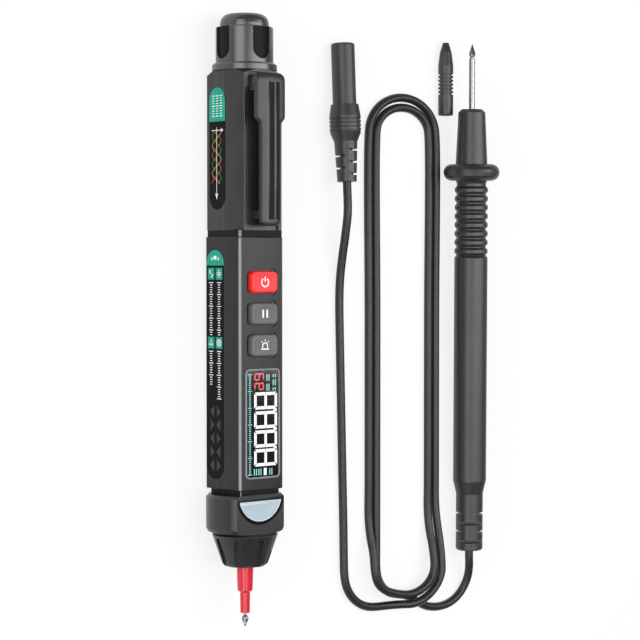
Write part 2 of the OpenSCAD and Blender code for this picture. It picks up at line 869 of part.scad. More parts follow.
module jack_insulator() {
    color([0.12, 0.12, 0.12])
        rod(socket_r + socket_wall, well_floor_y, head_end_y - socket_short, bore = socket_r);
}

module jack_socket() {
    color([0.8, 0.62, 0.25]) difference() {
        union() {
            rod(socket_r, well_floor_y, head_end_y - socket_short - socket_wall);
            rod(socket_tail_r, tail_end_y, well_floor_y + socket_wall);
        }
        rod(socket_bore_r, well_floor_y + socket_wall, head_end_y);
    }
}

module jack_strap() {
    color([0.8, 0.66, 0.3]) {
        block(-strap_w / 2, strap_w / 2, strap_foot_y, tail_end_y, strap_up, strap_up + strap_t);
        block(-strap_w / 2, strap_w / 2, tail_end_y - strap_t, tail_end_y, -socket_tail_r, strap_up + strap_t);
        block(-strap_w / 2, strap_w / 2, strap_foot_y, strap_foot_y + strap_t, board_top, strap_up + strap_t);
    }
}

// Outline of the clip seen from above
module clip_outline() {
    polygon([
        [-clip_root_half, clip_root_y - clip_round], [-clip_root_half, clip_wide_y],
        [-clip_arm_half, clip_narrow_y], [-clip_arm_half, clip_free_y + clip_round],
        [clip_round - clip_arm_half, clip_free_y], [clip_arm_half - clip_round, clip_free_y],
        [clip_arm_half, clip_free_y + clip_round], [clip_arm_half, clip_narrow_y],
        [clip_root_half, clip_wide_y], [clip_root_half, clip_root_y - clip_round],
        [clip_root_half - clip_round, clip_root_y], [clip_round - clip_root_half, clip_root_y]
    ]);
}

module pocket_clip() {
    color([0.16, 0.16, 0.17]) difference() {
        union() {
            intersection() {
                translate([0, 0, axis_z + clip_top - clip_t]) linear_extrude(clip_t) clip_outline();
                along(clip_free_y - over, clip_root_y + over) polygon([
                    [-clip_root_half, clip_top - clip_t - over], [clip_root_half, clip_top - clip_t - over],
                    [clip_root_half, clip_top - clip_edge], [clip_root_half - clip_edge, clip_top],
                    [clip_edge - clip_root_half, clip_top], [-clip_root_half, clip_top - clip_edge]
                ]);
            }
            for (x = [-clip_rib_x, clip_rib_x])
                block(x - clip_rib_w / 2, x + clip_rib_w / 2, clip_free_y + clip_round, clip_wide_y,
                    clip_top - clip_edge, clip_top + clip_rib_h);
            block(-clip_root_half, clip_root_half, clip_root_y - clip_root_len, clip_root_y - clip_round,
                pocket_floor + clip_root_gap + clear, clip_top - clip_t);
            block(-clip_root_half + clip_round, clip_root_half - clip_round, clip_root_y - clip_root_len,
                clip_root_y, upper_top + clip_root_gap + clear, clip_top - clip_t);
            block(-clip_arm_half, clip_arm_half, clip_foot_y, clip_foot_y + clip_foot_len,
                pocket_floor + clear, clip_top - clip_t);
        }
        // slot for the lug that carries the pin, with room for the swing
        block(-clip_slot_half, clip_slot_half, clip_pin_y - clip_root_len, clip_root_y + over,
            -clip_top, clip_pin_up + clip_lug_r + clear - clip_edge);
        translate([-clip_root_half - over, clip_pin_y, axis_z + clip_pin_up]) rotate([0, 90, 0])
            cylinder(r = clip_pin_r + fit / 2, h = 2 * clip_root_half + 2 * over);
        translate([-clip_slot_half, clip_pin_y, axis_z + clip_pin_up]) rotate([0, 90, 0])
            cylinder(r = clip_lug_r + clear, h = 2 * clip_slot_half);
    }
}

module clip_pin() {
    color([0.75, 0.75, 0.77]) translate([clip_edge - clip_root_half, clip_pin_y, axis_z + clip_pin_up])
        rotate([0, 90, 0]) cylinder(r = clip_pin_r, h = 2 * (clip_root_half - clip_edge));
}

module clip_spring() {
    color([0.7, 0.7, 0.72]) translate([0, spring_y, axis_z + pocket_floor]) difference() {
        cylinder(r = spring_r, h = clip_pin_up + clip_lug_r - pocket_floor - clip_root_gap - 2 * clear);
        translate([0, 0, -over]) cylinder(r = spring_hole_r, h = clip_top);
    }
}

module key(i, tint) {
    y = key_y(i);
    top = lower_half + key_proud;
    color(tint) difference() {
        union() {
            plate(key_w, key_l, key_round, y, key_flange_top - key_flange_t, top - key_edge);
            plate(key_w - key_edge, key_l - key_edge, key_round - key_edge / 2, y, key_flange_top,
                top - key_edge / 2);
            plate(key_w - 2 * key_edge, key_l - 2 * key_edge, key_round - key_edge / 2, y, key_flange_top, top);
            plate(key_w + 2 * key_flange, key_l + 2 * key_flange, key_round, y,
                key_flange_top - key_flange_t, key_flange_top);
            translate([0, y, axis_z + stem_low]) cylinder(r = stem_r, h = key_flange_top - stem_low);
        }
    }
}

module power_key() { key(0, [0.86, 0.05, 0.06]); }
module hold_key() { key(1, [0.24, 0.24, 0.25]); }
module function_key() { key(2, [0.24, 0.24, 0.25]); }

module key_switches() {
    color([0.3, 0.3, 0.3]) for (i = [0:2]) {
        block(-switch_side / 2, switch_side / 2, key_y(i) - switch_side / 2, key_y(i) + switch_side / 2,
            board_top, board_top + switch_h);
        translate([0, key_y(i), axis_z + board_top + switch_h]) cylinder(r = plunger_r, h = plunger_h);
    }
}

module display_bezel() {
    color([0.62, 0.63, 0.65]) difference() {
        plate(bezel_w, bezel_l, bezel_round, display_y, wall_under, lower_half + bezel_proud);
        plate(bezel_w - 2 * bezel_rim, bezel_l - 2 * bezel_rim, bezel_round - bezel_rim / 2, display_y,
            wall_under - over, lower_half + over);
    }
}

module display_window() {
    color([0.03, 0.03, 0.04]) plate(bezel_w - 2 * bezel_rim - fit, bezel_l - 2 * bezel_rim - fit,
        bezel_round - bezel_rim / 2, display_y, window_up - window_t, window_up);
}

module display_glass() {
    color([0.1, 0.12, 0.14]) block(-bezel_w / 2 + display_margin, bezel_w / 2 - display_margin,
        display_y - bezel_l / 2 + display_margin, display_y + bezel_l / 2 - display_margin,
        glass_top - glass_t, glass_top);
}

module display_frame() {
    color([0.85, 0.85, 0.83]) block(-bezel_w / 2 + 2 * display_margin, bezel_w / 2 - 2 * display_margin,
        display_y - bezel_l / 2 + 2 * display_margin, display_y + bezel_l / 2 - 2 * display_margin,
        board_top, glass_top - glass_t);
}

module circuit_board() {
    color([0.05, 0.3, 0.15]) difference() {
        block(-board_w / 2, board_w / 2, board_start_y, board_end_y, board_top - board_t, board_top);
        screw_places() cylinder(r = screw_boss_r + fit, h = 2 * axis_z);
    }
}

module board_components() {
    color([0.08, 0.08, 0.08]) {
        block(-chip_side / 2, chip_side / 2, chip_y - chip_side / 2, chip_y + chip_side / 2,
            board_top - board_t - chip_h, board_top - board_t);
        for (i = [1:part_count], x = [-part_x, part_x]) {
            y = chip_y - chip_side / 2 - i * part_pitch;
            block(x - part_w / 2, x + part_w / 2, y - part_w / 2, y + part_w / 2,
                board_top - board_t - part_h, board_top - board_t);
        }
    }
}

module buzzer() {
    color([0.07, 0.07, 0.07]) translate([0, buzzer_y, axis_z + board_top - board_t - buzzer_h]) difference() {
        cylinder(r = buzzer_r, h = buzzer_h);
        translate([0, 0, -over]) cylinder(r = buzzer_hole_r, h = over + board_t);
    }
}

module cell(y0, y1) {
    r = cell_r;
    translate([0, 0, -cell_drop]) turned([
        [0, y0], [r - cell_edge, y0], [r, y0 + cell_edge], [r, y1 - cell_nub_h - cell_edge],
        [r - cell_edge, y1 - cell_nub_h], [cell_nub_r, y1 - cell_nub_h], [cell_nub_r, y1], [0, y1]
    ]);
}

module battery_1() { color([0.2, 0.35, 0.7]) cell(cell_1_start_y, cell_1_end_y); }
module battery_2() { color([0.2, 0.35, 0.7]) cell(cell_2_start_y, cell_2_end_y); }

module battery_spring() {
    color([0.75, 0.75, 0.76]) {
        block(-contact_half, contact_half, tail_end_y - 2 * strap_t - contact_t, tail_end_y - 2 * strap_t,
            -cell_drop - spring_coil_r, -cell_drop + spring_coil_r);
        rod(spring_coil_r, cell_1_end_y, tail_end_y - 2 * strap_t - contact_t / 2,
            bore = spring_coil_r - spring_coil_wall, up = -cell_drop);
    }
}

module battery_plate() {
    color([0.75, 0.75, 0.76]) {
        block(-contact_half, contact_half, cell_2_start_y - contact_t, cell_2_start_y,
            -cell_drop - spring_coil_r, -cell_drop + spring_coil_r);
        block(-socket_tail_r, socket_tail_r, cell_2_start_y - contact_t, cell_2_start_y,
            -cell_drop, board_top - board_t);
    }
}

module lens_outline(grow) {
    r = lens_r + grow;
    chord = lens_chord_y + grow;
    intersection() {
        translate([0, lens_chord_y - lens_h + lens_r]) circle(r);
        translate([-far, chord - far]) square([2 * far, far]);
    }
}

module collar() {
    color([0.13, 0.13, 0.14]) difference() {
        union() {
            turned([
                [collar_bore_r, collar_end_y], [collar_r - collar_foot_round, collar_end_y],
                [collar_r - collar_foot_round * 0.3, collar_end_y + collar_foot_round * 0.3],
                [collar_r, collar_end_y + collar_foot_round], [collar_r, collar_start_y - collar_bevel],
                [collar_r - collar_bevel, collar_start_y], [collar_bore_r, collar_start_y]
            ]);
            along(collar_start_y, spigot_end_y) difference() {
                lower_section(shell_wall + fit);
                circle(collar_bore_r);
            }
        }
        block(-far, far, collar_end_y - over, collar_start_y + fit, collar_flat, far);
        block(-far, far, collar_end_y - over, collar_start_y + fit, -far, -axis_z);
        translate([0, 0, axis_z + collar_flat - lens_t]) linear_extrude(far) lens_outline(lens_gap);
        block(-lamp_well_half, lamp_well_half, lens_chord_y - lens_h + lens_rim, lens_chord_y - lens_rim,
            0, collar_flat - lens_t + fit);
    }
}

module signal_lens() {
    color([0.78, 0.84, 0.9]) translate([0, 0, axis_z + collar_flat - lens_t])
        linear_extrude(lens_t + lens_proud) lens_outline(0);
}

module lamp_board() {
    half = sqrt(collar_bore_r * collar_bore_r - pow(lamp_board_up + lamp_board_t, 2)) - lamp_board_gap;
    color([0.05, 0.3, 0.15]) block(-half, half, collar_end_y + fit, spigot_end_y,
        lamp_board_up, lamp_board_up + lamp_board_t);
}

module signal_lamp() {
    y = lens_chord_y - lens_h / 2;
    base = lamp_board_up + lamp_board_t;
    color([0.95, 0.9, 0.6]) block(-lamp_w / 2, lamp_w / 2, y - lamp_l / 2, y + lamp_l / 2, base, base + lamp_h);
}

// Things at the torch's turn and distance round the nose
module at_torch() {
    translate([0, 0, axis_z]) rotate([0, torch_turn, 0]) translate([0, 0, torch_out]) children();
}

module nose_cone() {
    color([0.12, 0.12, 0.13]) difference() {
        turned([
            [nose_bore_r, collar_end_y], [nose_big_r - nose_face_round, collar_end_y],
            [nose_big_r, collar_end_y - nose_face_round],
            [nose_small_r, nose_end_y + nose_face_round], [nose_small_r - nose_face_round, nose_end_y],
            [sleeve_root_r + sleeve_bore_gap, nose_end_y],
            [sleeve_root_r + sleeve_bore_gap, rod_head_y], [nose_bore_r, rod_head_y]
        ]);
        for (i = [1:flute_count - 1]) translate([0, collar_end_y, axis_z])
            rotate([0, torch_turn + i * 360 / flute_count, 0])
                translate([0, 0, nose_big_r - flute_deep]) rotate([nose_slope, 0, 0]) flute_cutter();
        at_torch() {
            translate([-torch_notch / 2, nose_end_y - over, -torch_notch / 2])
                cube([torch_notch, torch_notch_len + over, far]);
            translate([0, nose_end_y, 0]) rotate([-90, 0, 0])
                cylinder(r = torch_r + sleeve_bore_gap, h = torch_notch_len + torch_len);
        }
    }
}

// Arch that widens towards the tip, cut from outside
module flute_cutter() {
    head_y = -(1 - flute_head_share) * nose_len;
    linear_extrude(far) {
        translate([0, head_y]) circle(flute_top_w / 2);
        polygon([
            [-flute_top_w / 2, head_y], [flute_top_w / 2, head_y],
            [flute_w / 2, -nose_len - over - flute_deep], [-flute_w / 2, -nose_len - over - flute_deep]
        ]);
    }
}

module torch_lamp() {
    color([0.9, 0.9, 0.85]) at_torch() translate([0, nose_end_y + torch_notch_len + torch_lens_t, 0])
        rotate([-90, 0, 0]) cylinder(r = torch_r, h = torch_len - 2 * torch_lens_t);
}

module torch_lens() {
    color([0.85, 0.9, 0.95]) at_torch() translate([0, nose_end_y + torch_notch_len, 0])
        rotate([-90, 0, 0]) cylinder(r = torch_r, h = torch_lens_t);
}

module tip_sleeve() {
    bore = tip_rod_r + sleeve_bore_gap;
    color([0.8, 0.05, 0.06]) turned([
        [bore, rod_head_y], [bore, slim_end_y], [sleeve_slim_r * slim_taper_share, slim_end_y],
        [sleeve_slim_r, sleeve_end_y - sleeve_step], [sleeve_big_r * sleeve_taper_share - sleeve_step / 2,
        sleeve_end_y - sleeve_step / 2], [sleeve_big_r * sleeve_taper_share, sleeve_end_y],
        [sleeve_big_r, nose_end_y], [sleeve_root_r, nose_end_y], [sleeve_root_r, rod_head_y]
    ]);
}

module tip_rod() {
    bulb_y = slim_end_y - tip_neck_len;
    color([0.85, 0.85, 0.87]) difference() {
        turned([
            [0, tip_end_y], [bulb_r * 0.35, tip_end_y + bulb_len * 0.3], [bulb_r * 0.85, tip_end_y + bulb_len * 0.62],
            [bulb_r, tip_end_y + bulb_len * 0.8], [bulb_r * 0.8, bulb_y], [tip_neck_r, bulb_y + tip_neck_len * 0.3],
            [tip_neck_r, slim_end_y], [tip_rod_r, slim_end_y + tip_neck_r], [tip_rod_r, rod_head_y],
            [rod_head_r, rod_head_y], [rod_head_r, rod_head_y + rod_head_len], [0, rod_head_y + rod_head_len]
        ]);
        for (turn = [0:90:270]) translate([0, 0, axis_z]) rotate([0, 45 + turn, 0])
            translate([-vane_w / 2, tip_end_y, vane_core_r]) cube([vane_w, bulb_len * 0.8, bulb_r]);
    }
}

module tip_spring() {
    color([0.75, 0.75, 0.77]) rod(tip_spring_r, rod_head_y + rod_head_len, collar_end_y + tip_spring_r,
        bore = tip_spring_r - tip_spring_wall);
}

module shell_screws() {
    head_z = axis_z - lower_half + screw_head_h;
    color([0.6, 0.6, 0.62]) screw_places() {
        translate([0, 0, head_z - screw_head_h + fit]) cylinder(r = screw_head_r, h = screw_head_h);
        translate([0, 0, head_z]) cylinder(r = screw_r, h = lower_half - seam_drop - screw_head_h + screw_bite - fit);
    }
}

// Plug: built along +Y from its boot's tail, then laid on its boot's ribs and the shroud's end
module lay_plug() {
    translate([plug_x, plug_end_y, shroud_r * cos(plug_tilt)]) rotate([-plug_tilt, 0, 0]) children();
}

module plug_turned(outline) {
    rotate([-90, 0, 0]) rotate_extrude() polygon(outline);
}

module plug_shroud() {
    root = -shroud_len - boot_cone_len;
    color([0.1, 0.1, 0.1]) lay_plug() plug_turned([
        [plug_pin_root_r, root], [shroud_root_r, root], [shroud_root_r, -shroud_len], [shroud_r, -shroud_len],
        [shroud_r, -shroud_round], [shroud_r - shroud_round / 2, 0], [shroud_bore_r, 0],
        [shroud_bore_r, root + shroud_wall_end], [plug_pin_root_r, root + shroud_wall_end]
    ]);
}

module plug_pin() {
    root = -shroud_len - boot_cone_len;
    r = plug_pin_r;
    color([0.85, 0.8, 0.6]) lay_plug() plug_turned([
        [0, root], [plug_pin_root_r, root], [plug_pin_root_r, root + shroud_wall_end],
        [r, root + shroud_wall_end], [r, root + plug_pin_len - r / 2], [r / 2, root + plug_pin_len],
        [0, root + plug_pin_len]
    ]);
}

module plug_boot() {
    tail = -plug_len;
    cone = -shroud_len - boot_cone_len;
    waist = cone - boot_rib_len - boot_waist_len;
    pitch = boot_rib_len / boot_rib_count;
    ribs = [for (i = [0:boot_rib_count - 1], p = [[0, 0], [0.62, 0], [0.72, 1], [0.9, 1]])
        [boot_r - p[1] * boot_rib_deep, cone - (i + p[0]) * pitch]];
    color([0.11, 0.11, 0.11]) lay_plug() difference() {
        plug_turned(concat(
            [[0, tail], [0, cone], [shroud_root_r, cone], [shroud_root_r, -shroud_len],
            [boot_front_r, -shroud_len]],
            ribs,
            [[boot_r, cone - boot_rib_len], [boot_waist_r, waist], [boot_tail_r, tail]]
        ));
        for (i = [0:boot_slot_count - 1])
            boot_slot(waist - boot_slot_start - i * boot_slot_pitch, boot_turn + 180 * (i % 2));
    }
}

// A slot round one side of the plug's boot, down to the core that holds the cable
module boot_slot(y, turn) {
    intersection() {
        plug_turned([
            [boot_core_r, y], [boot_r + over, y], [boot_r + over, y + boot_slot_w], [boot_core_r, y + boot_slot_w]
        ]);
        rotate([0, turn, 0]) translate([-far, y - over, boot_web_half])
            cube([2 * far, boot_slot_w + 2 * over, far]);
    }
}

// Probe: built along +Y from its guard's middle, then laid on its guard and its rear shoulder
module lay_probe() {
    translate([probe_x, guard_y, guard_r]) rotate([0, 0, probe_yaw]) rotate([probe_tilt, 0, 0]) children();
}

nose_y = guard_len / 2 + nose_cone_len;
grip_start_y = -guard_len / 2;
body_start_y = grip_start_y - grip_len - ring_pitch / 2;
body_end_y = body_start_y - handle_len;
handle_end_y = body_end_y - handle_tail_len;
probe_boot_end_y = handle_end_y - probe_boot_len;

module probe_handle() {
    g = guard_len / 2;
    rise = guard_r - nose_back_r;
    guard = [for (i = [0:8]) let (a = 90 - i * 22.5)
        [guard_r - g + g * cos(a), g * sin(a)]];
    rings = [for (i = [0:ring_count - 1], p = [[0.1, 0], [0.38, 1], [0.72, 1], [1, 0]])
        [grip_groove_r + p[1] * (handle_r - grip_groove_r), grip_start_y - ring_pitch * (i + 0.5 + p[0])]];
    color([0.14, 0.14, 0.14]) lay_probe() plug_turned(concat(
        [[needle_root_r, handle_end_y], [needle_root_r, nose_y], [nose_front_r - nose_round, nose_y],
        [nose_front_r, nose_y - nose_round], [nose_back_r, g]],
        guard,
        [[grip_groove_r + rise * 0.1, -g], [grip_groove_r, grip_start_y - ring_pitch * 0.3]],
        rings,
        [[handle_r, body_start_y - ring_round], [handle_r, body_end_y],
        [handle_tail_r, handle_end_y + ring_round], [handle_tail_r, handle_end_y]]
    ));
}

module probe_boot() {
    color([0.1, 0.1, 0.1]) lay_probe() difference() {
        plug_turned([
            [0, probe_boot_end_y], [0, handle_end_y], [handle_tail_r, handle_end_y],
            [handle_tail_r, probe_boot_end_y + ring_round / 2], [handle_tail_r - ring_round / 2, probe_boot_end_y]
        ]);
        for (i = [0:boot_cut_count - 1], s = [0, 180])
            rotate([0, s + boot_turn - 90 * (i % 2), 0])
                translate([-far, handle_end_y - boot_cut_start - i * boot_cut_pitch - boot_cut_w,
                    handle_tail_r - boot_cut_deep]) cube([2 * far, boot_cut_w, far]);
    }
}

module probe_needle() {
    tip = nose_y + needle_len;
    shaft = tip - needle_bulb_len;
    color([0.85, 0.85, 0.87]) lay_probe() plug_turned([
        [0, handle_end_y], [needle_root_r, handle_end_y], [needle_root_r, nose_y],
        [needle_r, nose_y], [needle_r, shaft - needle_neck_len],
        [needle_r * 0.7, shaft - needle_neck_len / 2], [needle_r * 0.7, shaft],
        [needle_bulb_r * 0.8, shaft + needle_neck_len / 2], [needle_bulb_r, shaft + needle_bulb_len * 0.25],
        [needle_bulb_r * 0.7, shaft + needle_bulb_len * 0.5], [0, tip]
    ]);
}

module tip_cap() {
    grooves = [for (i = [0:cap_groove_count - 1], p = [[0, 0], [0, 1], [1, 1], [1, 0]])
        [cap_r - p[1] * cap_groove_deep,
        -cap_groove_start - i * cap_groove_pitch - p[0] * cap_groove_w]];
    color([0.12, 0.12, 0.12]) translate([cap_x, cap_end_y, cap_r]) plug_turned(concat(
        [[0, 0], [cap_tip_r, 0], [(cap_tip_r + cap_r) * 0.56, -cap_ogive_len * 0.42], [cap_r, -cap_ogive_len]],
        grooves,
        [[cap_r, cap_end_bevel - cap_len], [cap_r - cap_end_bevel, -cap_len], [needle_r + fit, -cap_len],
        [needle_r + fit, cap_bore_deep - cap_len], [0, cap_bore_deep - cap_len]]
    ));
}

// Cable: a tube swept along a list of points
function unit(v) = v / norm(v);
function heading(p, i) = unit(p[min(i + 1, len(p) - 1)] - p[max(i - 1, 0)]);
function ring_at(p, i, n, r) =
    let (t = heading(p, i), s = unit(cross(t, [0, 0, 1])), u = cross(s, t))
    [for (k = [0:n - 1]) let (a = 360 * (k + 0.5) / n) p[i] + r * (cos(a) * s + sin(a) * u)];

module tube(p, n, r) {
    m = len(p);
    points = [for (i = [0:m - 1], v = ring_at(p, i, n, r)) v];
    sides = [for (i = [0:m - 2], k = [0:n - 1], t = [0, 1])
        let (a = i * n + k, b = i * n + (k + 1) % n)
        t == 0 ? [a, b, b + n] : [a, b + n, a + n]];
    caps = [for (k = [1:n - 2], e = [0, 1])
        e == 0 ? [0, k + 1, k] : [(m - 1) * n, (m - 1) * n + k, (m - 1) * n + k + 1]];
    polyhedron(points, concat(sides, caps), convexity = 10);
}

// Where the boots let the cable out, and which way
plug_tail = [plug_x, plug_end_y - plug_len * cos(plug_tilt),
    shroud_r * cos(plug_tilt) + plug_len * sin(plug_tilt)];
plug_out = [0, -cos(plug_tilt), sin(plug_tilt)];
probe_out = [sin(probe_yaw) * cos(probe_tilt), -cos(probe_yaw) * cos(probe_tilt), -sin(probe_tilt)];
probe_tail = [probe_x, guard_y, guard_r] - probe_boot_end_y * probe_out;

outer_right = [loop_x + loop_half_x, loop_join_y, low_z];
inner_left = [loop_x - inner_half_x, loop_join_y, low_z];

// A round end from the right leg to the left (top) or from the left to the right (low)
function top_end(hx, hy) = [for (i = [0:loop_steps]) let (a = 180 * i / loop_steps)
    [loop_x + hx * cos(a), loop_top_y + hy * sin(a), low_z]];
function ease(t) = t <= 0 ? 0 : t >= 1 ? 1 : t * t * (3 - 2 * t);
function low_end() = [for (i = [0:loop_steps])
    let (a = 180 + 180 * i / loop_steps, w = ease(i / loop_steps / swing_share),
        hx = loop_half_x - w * loop_pitch, hy = loop_half_y - w * loop_pitch)
    [loop_x + hx * cos(a), loop_low_y + hy * sin(a), high_z]];
// The climb on the leg before the low end, and the way down after it
function climb(x, up) = [for (s = up ? ramp_shares : [for (k = [2:-1:0]) ramp_shares[k]])
    [x, loop_low_y + s * ramp_len, high_z - ease(s * 4 / 3) * lift]];
loop_route = concat(
    [outer_right, [outer_right.x, 0, low_z]],
    top_end(loop_half_x, loop_half_y),
    [[loop_x - loop_half_x, 0, low_z]], [[loop_x - loop_half_x, loop_join_y, low_z]],
    climb(loop_x - loop_half_x, true),
    low_end(),
    climb(loop_x + inner_half_x, false),
    [[loop_x + inner_half_x, loop_join_y, low_z]], [[loop_x + inner_half_x, 0, low_z]],
    top_end(inner_half_x, inner_half_y),
    [[inner_left.x, 0, low_z], inner_left]
);
plug_path = concat([plug_tail, plug_tail + cable_d * plug_out], plug_route,
    [outer_right - [0, cable_d, 0], outer_right]);
probe_path = concat([inner_left, inner_left - [0, cable_d, 0]], probe_route,
    [probe_tail + cable_d * probe_out, probe_tail]);

// Least gap of the loops to themselves, measured on points a little apart
function spaced(p, step) = concat([for (i = [0:len(p) - 2])
    let (d = norm(p[i + 1] - p[i]), n = max(1, ceil(d / step)))
    for (k = [0:n - 1]) p[i] + (p[i + 1] - p[i]) * k / n], [p[len(p) - 1]]);
function run_to(p, i = 0, total = 0, out = []) = i >= len(p) ? out :
    run_to(p, i + 1, i + 1 < len(p) ? total + norm(p[i + 1] - p[i]) : total, concat(out, [total]));
gap_step = 1.5;
loop_points = spaced(loop_route, gap_step);
loop_runs = run_to(loop_points);
loop_gap = min([for (i = [0:len(loop_points) - 1], j = [0:len(loop_points) - 1])
    if (loop_runs[j] - loop_runs[i] > 8 * cable_d) norm(loop_points[j] - loop_points[i])]) - cable_d;
echo("least gap of the loops to themselves", loop_gap);

module cord_to_plug() { color([0.07, 0.07, 0.07]) tube(plug_path, 8, cable_r); }
module cord_loops() { color([0.07, 0.07, 0.07]) tube(loop_route, 6, cable_r); }
module cord_to_probe() { color([0.07, 0.07, 0.07]) tube(probe_path, 8, cable_r); }

lower_front_shell();
lower_rear_shell();
upper_front_shell();
upper_rear_shell();
battery_door();
neck_ring();
head_nut();
head_barrel();
jack_insulator();
jack_socket();
jack_strap();
pocket_clip();
clip_pin();
clip_spring();
upper_label();
lower_label();
power_key();
hold_key();
function_key();
key_switches();
display_bezel();
display_window();
display_glass();
display_frame();
circuit_board();
board_components();
buzzer();
battery_1();
battery_2();
battery_spring();
battery_plate();
collar();
signal_lens();
signal_lamp();
lamp_board();
nose_cone();
torch_lamp();
torch_lens();
tip_sleeve();
tip_rod();
tip_spring();
shell_screws();
plug_shroud();
plug_pin();
plug_boot();
cord_to_plug();
cord_loops();
cord_to_probe();
probe_handle();
probe_boot();
probe_needle();
tip_cap();
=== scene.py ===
import math

import bmesh
import bpy
from mathutils import Matrix, Vector


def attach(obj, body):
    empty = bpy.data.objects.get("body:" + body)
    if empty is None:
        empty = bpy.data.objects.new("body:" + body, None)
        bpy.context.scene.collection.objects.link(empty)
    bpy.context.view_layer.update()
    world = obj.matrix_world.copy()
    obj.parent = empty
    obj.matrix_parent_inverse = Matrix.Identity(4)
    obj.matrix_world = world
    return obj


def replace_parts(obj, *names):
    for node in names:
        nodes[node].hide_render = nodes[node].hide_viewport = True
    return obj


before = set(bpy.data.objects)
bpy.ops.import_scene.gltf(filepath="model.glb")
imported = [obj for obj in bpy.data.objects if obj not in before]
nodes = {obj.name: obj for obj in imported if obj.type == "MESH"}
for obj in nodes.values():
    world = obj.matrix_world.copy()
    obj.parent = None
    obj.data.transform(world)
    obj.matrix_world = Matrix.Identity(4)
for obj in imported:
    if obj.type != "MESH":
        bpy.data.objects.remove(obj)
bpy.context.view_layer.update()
mm = 0.001
axis_z = 11.1

# Lower case: two mouldings of satin black ABS, front and back, that clip together along the sides
# and are held by four screws from behind. The front one has the openings for the keys and display.


def paint(code):
    """A colour as it is seen, written #rrggbb, in the renderer's own linear light."""
    parts = [int(code[i:i + 2], 16) / 255 for i in (1, 3, 5)]
    return [c / 12.92 if c <= 0.04045 else ((c + 0.055) / 1.055) ** 2.4 for c in parts] + [1.0]


def set_inputs(tree, node, inputs):
    """Sets each named input of a shader node to a value, or links it to another node's output."""
    for key, value in inputs.items():
        if isinstance(value, bpy.types.NodeSocket):
            tree.links.new(value, node.inputs[key])
        else:
            node.inputs[key].default_value = value


def add_node(tree, kind, inputs, **settings):
    node = tree.nodes.new("ShaderNode" + kind)
    for key, value in settings.items():
        setattr(node, key, value)
    set_inputs(tree, node, inputs)
    return node


def new_finish(name):
    """A material, with its node tree and its main shader."""
    finish = bpy.data.materials.new(name)
    finish.use_nodes = True
    return finish, finish.node_tree, finish.node_tree.nodes["Principled BSDF"]


def two_tones(tree, share, stops):
    """Runs from one tone to another between two values of the share."""
    ramp = add_node(tree, "ValToRGB", {"Fac": share})
    for stop, (position, colour) in zip(ramp.color_ramp.elements, stops):
        stop.position = position
        stop.color = colour
    return ramp.outputs["Color"]


def mixed(tree, share, under, over):
    blend = add_node(tree, "Mix", {"Factor": share, "A": under, "B": over}, data_type="RGBA")
    return blend.outputs["Result"]


def corner_share(tree, normal):
    """One on faces that lean half way between the top and a side, such as a case's corner bevels."""
    faces = add_node(tree, "SeparateXYZ", {0: normal})
    corner = add_node(tree, "Math", {0: faces.outputs["X"], 1: faces.outputs["Z"]}, operation="MULTIPLY")
    steep = add_node(tree, "Math", {0: corner.outputs["Value"]}, operation="ABSOLUTE")
    share = add_node(tree, "MapRange", {"From Min": 0.38, "From Max": 0.47, "Value": steep.outputs["Value"]})
    return share.outputs["Result"]


def moulded(name, dark, light, rough, grain=0.22, depth=0.02, edge=0.12, edge_highlight=None, coat=0.0, shine=0.3,
            bevels=None):
    """Moulded plastic: faint flow marks between two tones, the mould's fine grain, edges a little rounded
    and painted brighter as a highlight, and corner bevels painted paler as a highlight where they are
    given a tone of their own. Grain size, grain depth and edge radius are in millimetres."""
    finish, tree, skin = new_finish(name)
    place = add_node(tree, "TexCoord", {}).outputs["Object"]
    flow = add_node(tree, "TexNoise", {"Scale": 90, "Detail": 4, "Vector": place})
    shown = two_tones(tree, flow.outputs["Fac"], ((0.36, paint(dark)), (0.64, paint(light))))
    round_edge = add_node(tree, "Bevel", {"Radius": edge * mm}, samples=4)
    true_normal = add_node(tree, "NewGeometry", {}).outputs["Normal"]
    turn = add_node(tree, "VectorMath", {0: round_edge.outputs["Normal"], 1: true_normal},
                    operation="DOT_PRODUCT")
    # Painted highlight: at edges, where the rounded normal turns from the true one, the colour runs to a
    # paler tone.
    edge_highlight_share = add_node(tree, "MapRange", {"From Min": 0.995, "From Max": 0.86, "Value": turn.outputs["Value"]})
    shown = mixed(tree, edge_highlight_share.outputs["Result"], shown, paint(edge_highlight or light))
    # Painted highlight: faces that lean half way between the top and a side, the corner bevels, take a pale
    # tone of their own.
    if bevels:
        shown = mixed(tree, corner_share(tree, true_normal), shown, paint(bevels))
    pits = add_node(tree, "TexNoise", {"Scale": 1 / (grain * mm), "Detail": 2, "Vector": place})
    bump = add_node(tree, "Bump", {"Strength": 0.5, "Distance": depth * mm, "Height": pits.outputs["Fac"],
                                   "Normal": round_edge.outputs["Normal"]})
    matt = add_node(tree, "MapRange", {"From Min": 0.3, "From Max": 0.7, "To Min": max(rough - 0.05, 0.04),
                                       "To Max": min(rough + 0.06, 1), "Value": pits.outputs["Fac"]})
    set_inputs(tree, skin, {"Base Color": shown, "Normal": bump.outputs["Normal"],
                            "Roughness": matt.outputs["Result"], "Specular IOR Level": shine,
                            "Coat Weight": coat, "Coat Roughness": 0.08})
    return finish


def finish_node(finish, slot, *names):
    """Gives CAD pieces that are kept as they are their finish. The slot is not used."""
    for name in names:
        piece = nodes[name]
        piece.data.materials.clear()
        piece.data.materials.append(finish)


def place_mesh(mesh, name, finish, body, smooth):
    """Puts a finished mesh, built in millimetres, in the scene as a piece of the object."""
    mesh.transform(Matrix.Scale(mm, 4))
    mesh.validate()
    mesh.materials.append(finish)
    piece = bpy.data.objects.new(name, mesh)
    bpy.context.scene.collection.objects.link(piece)
    for face in mesh.polygons:
        face.use_smooth = True
    mesh.set_sharp_from_angle(angle=math.radians(smooth))
    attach(piece, body)
    return piece


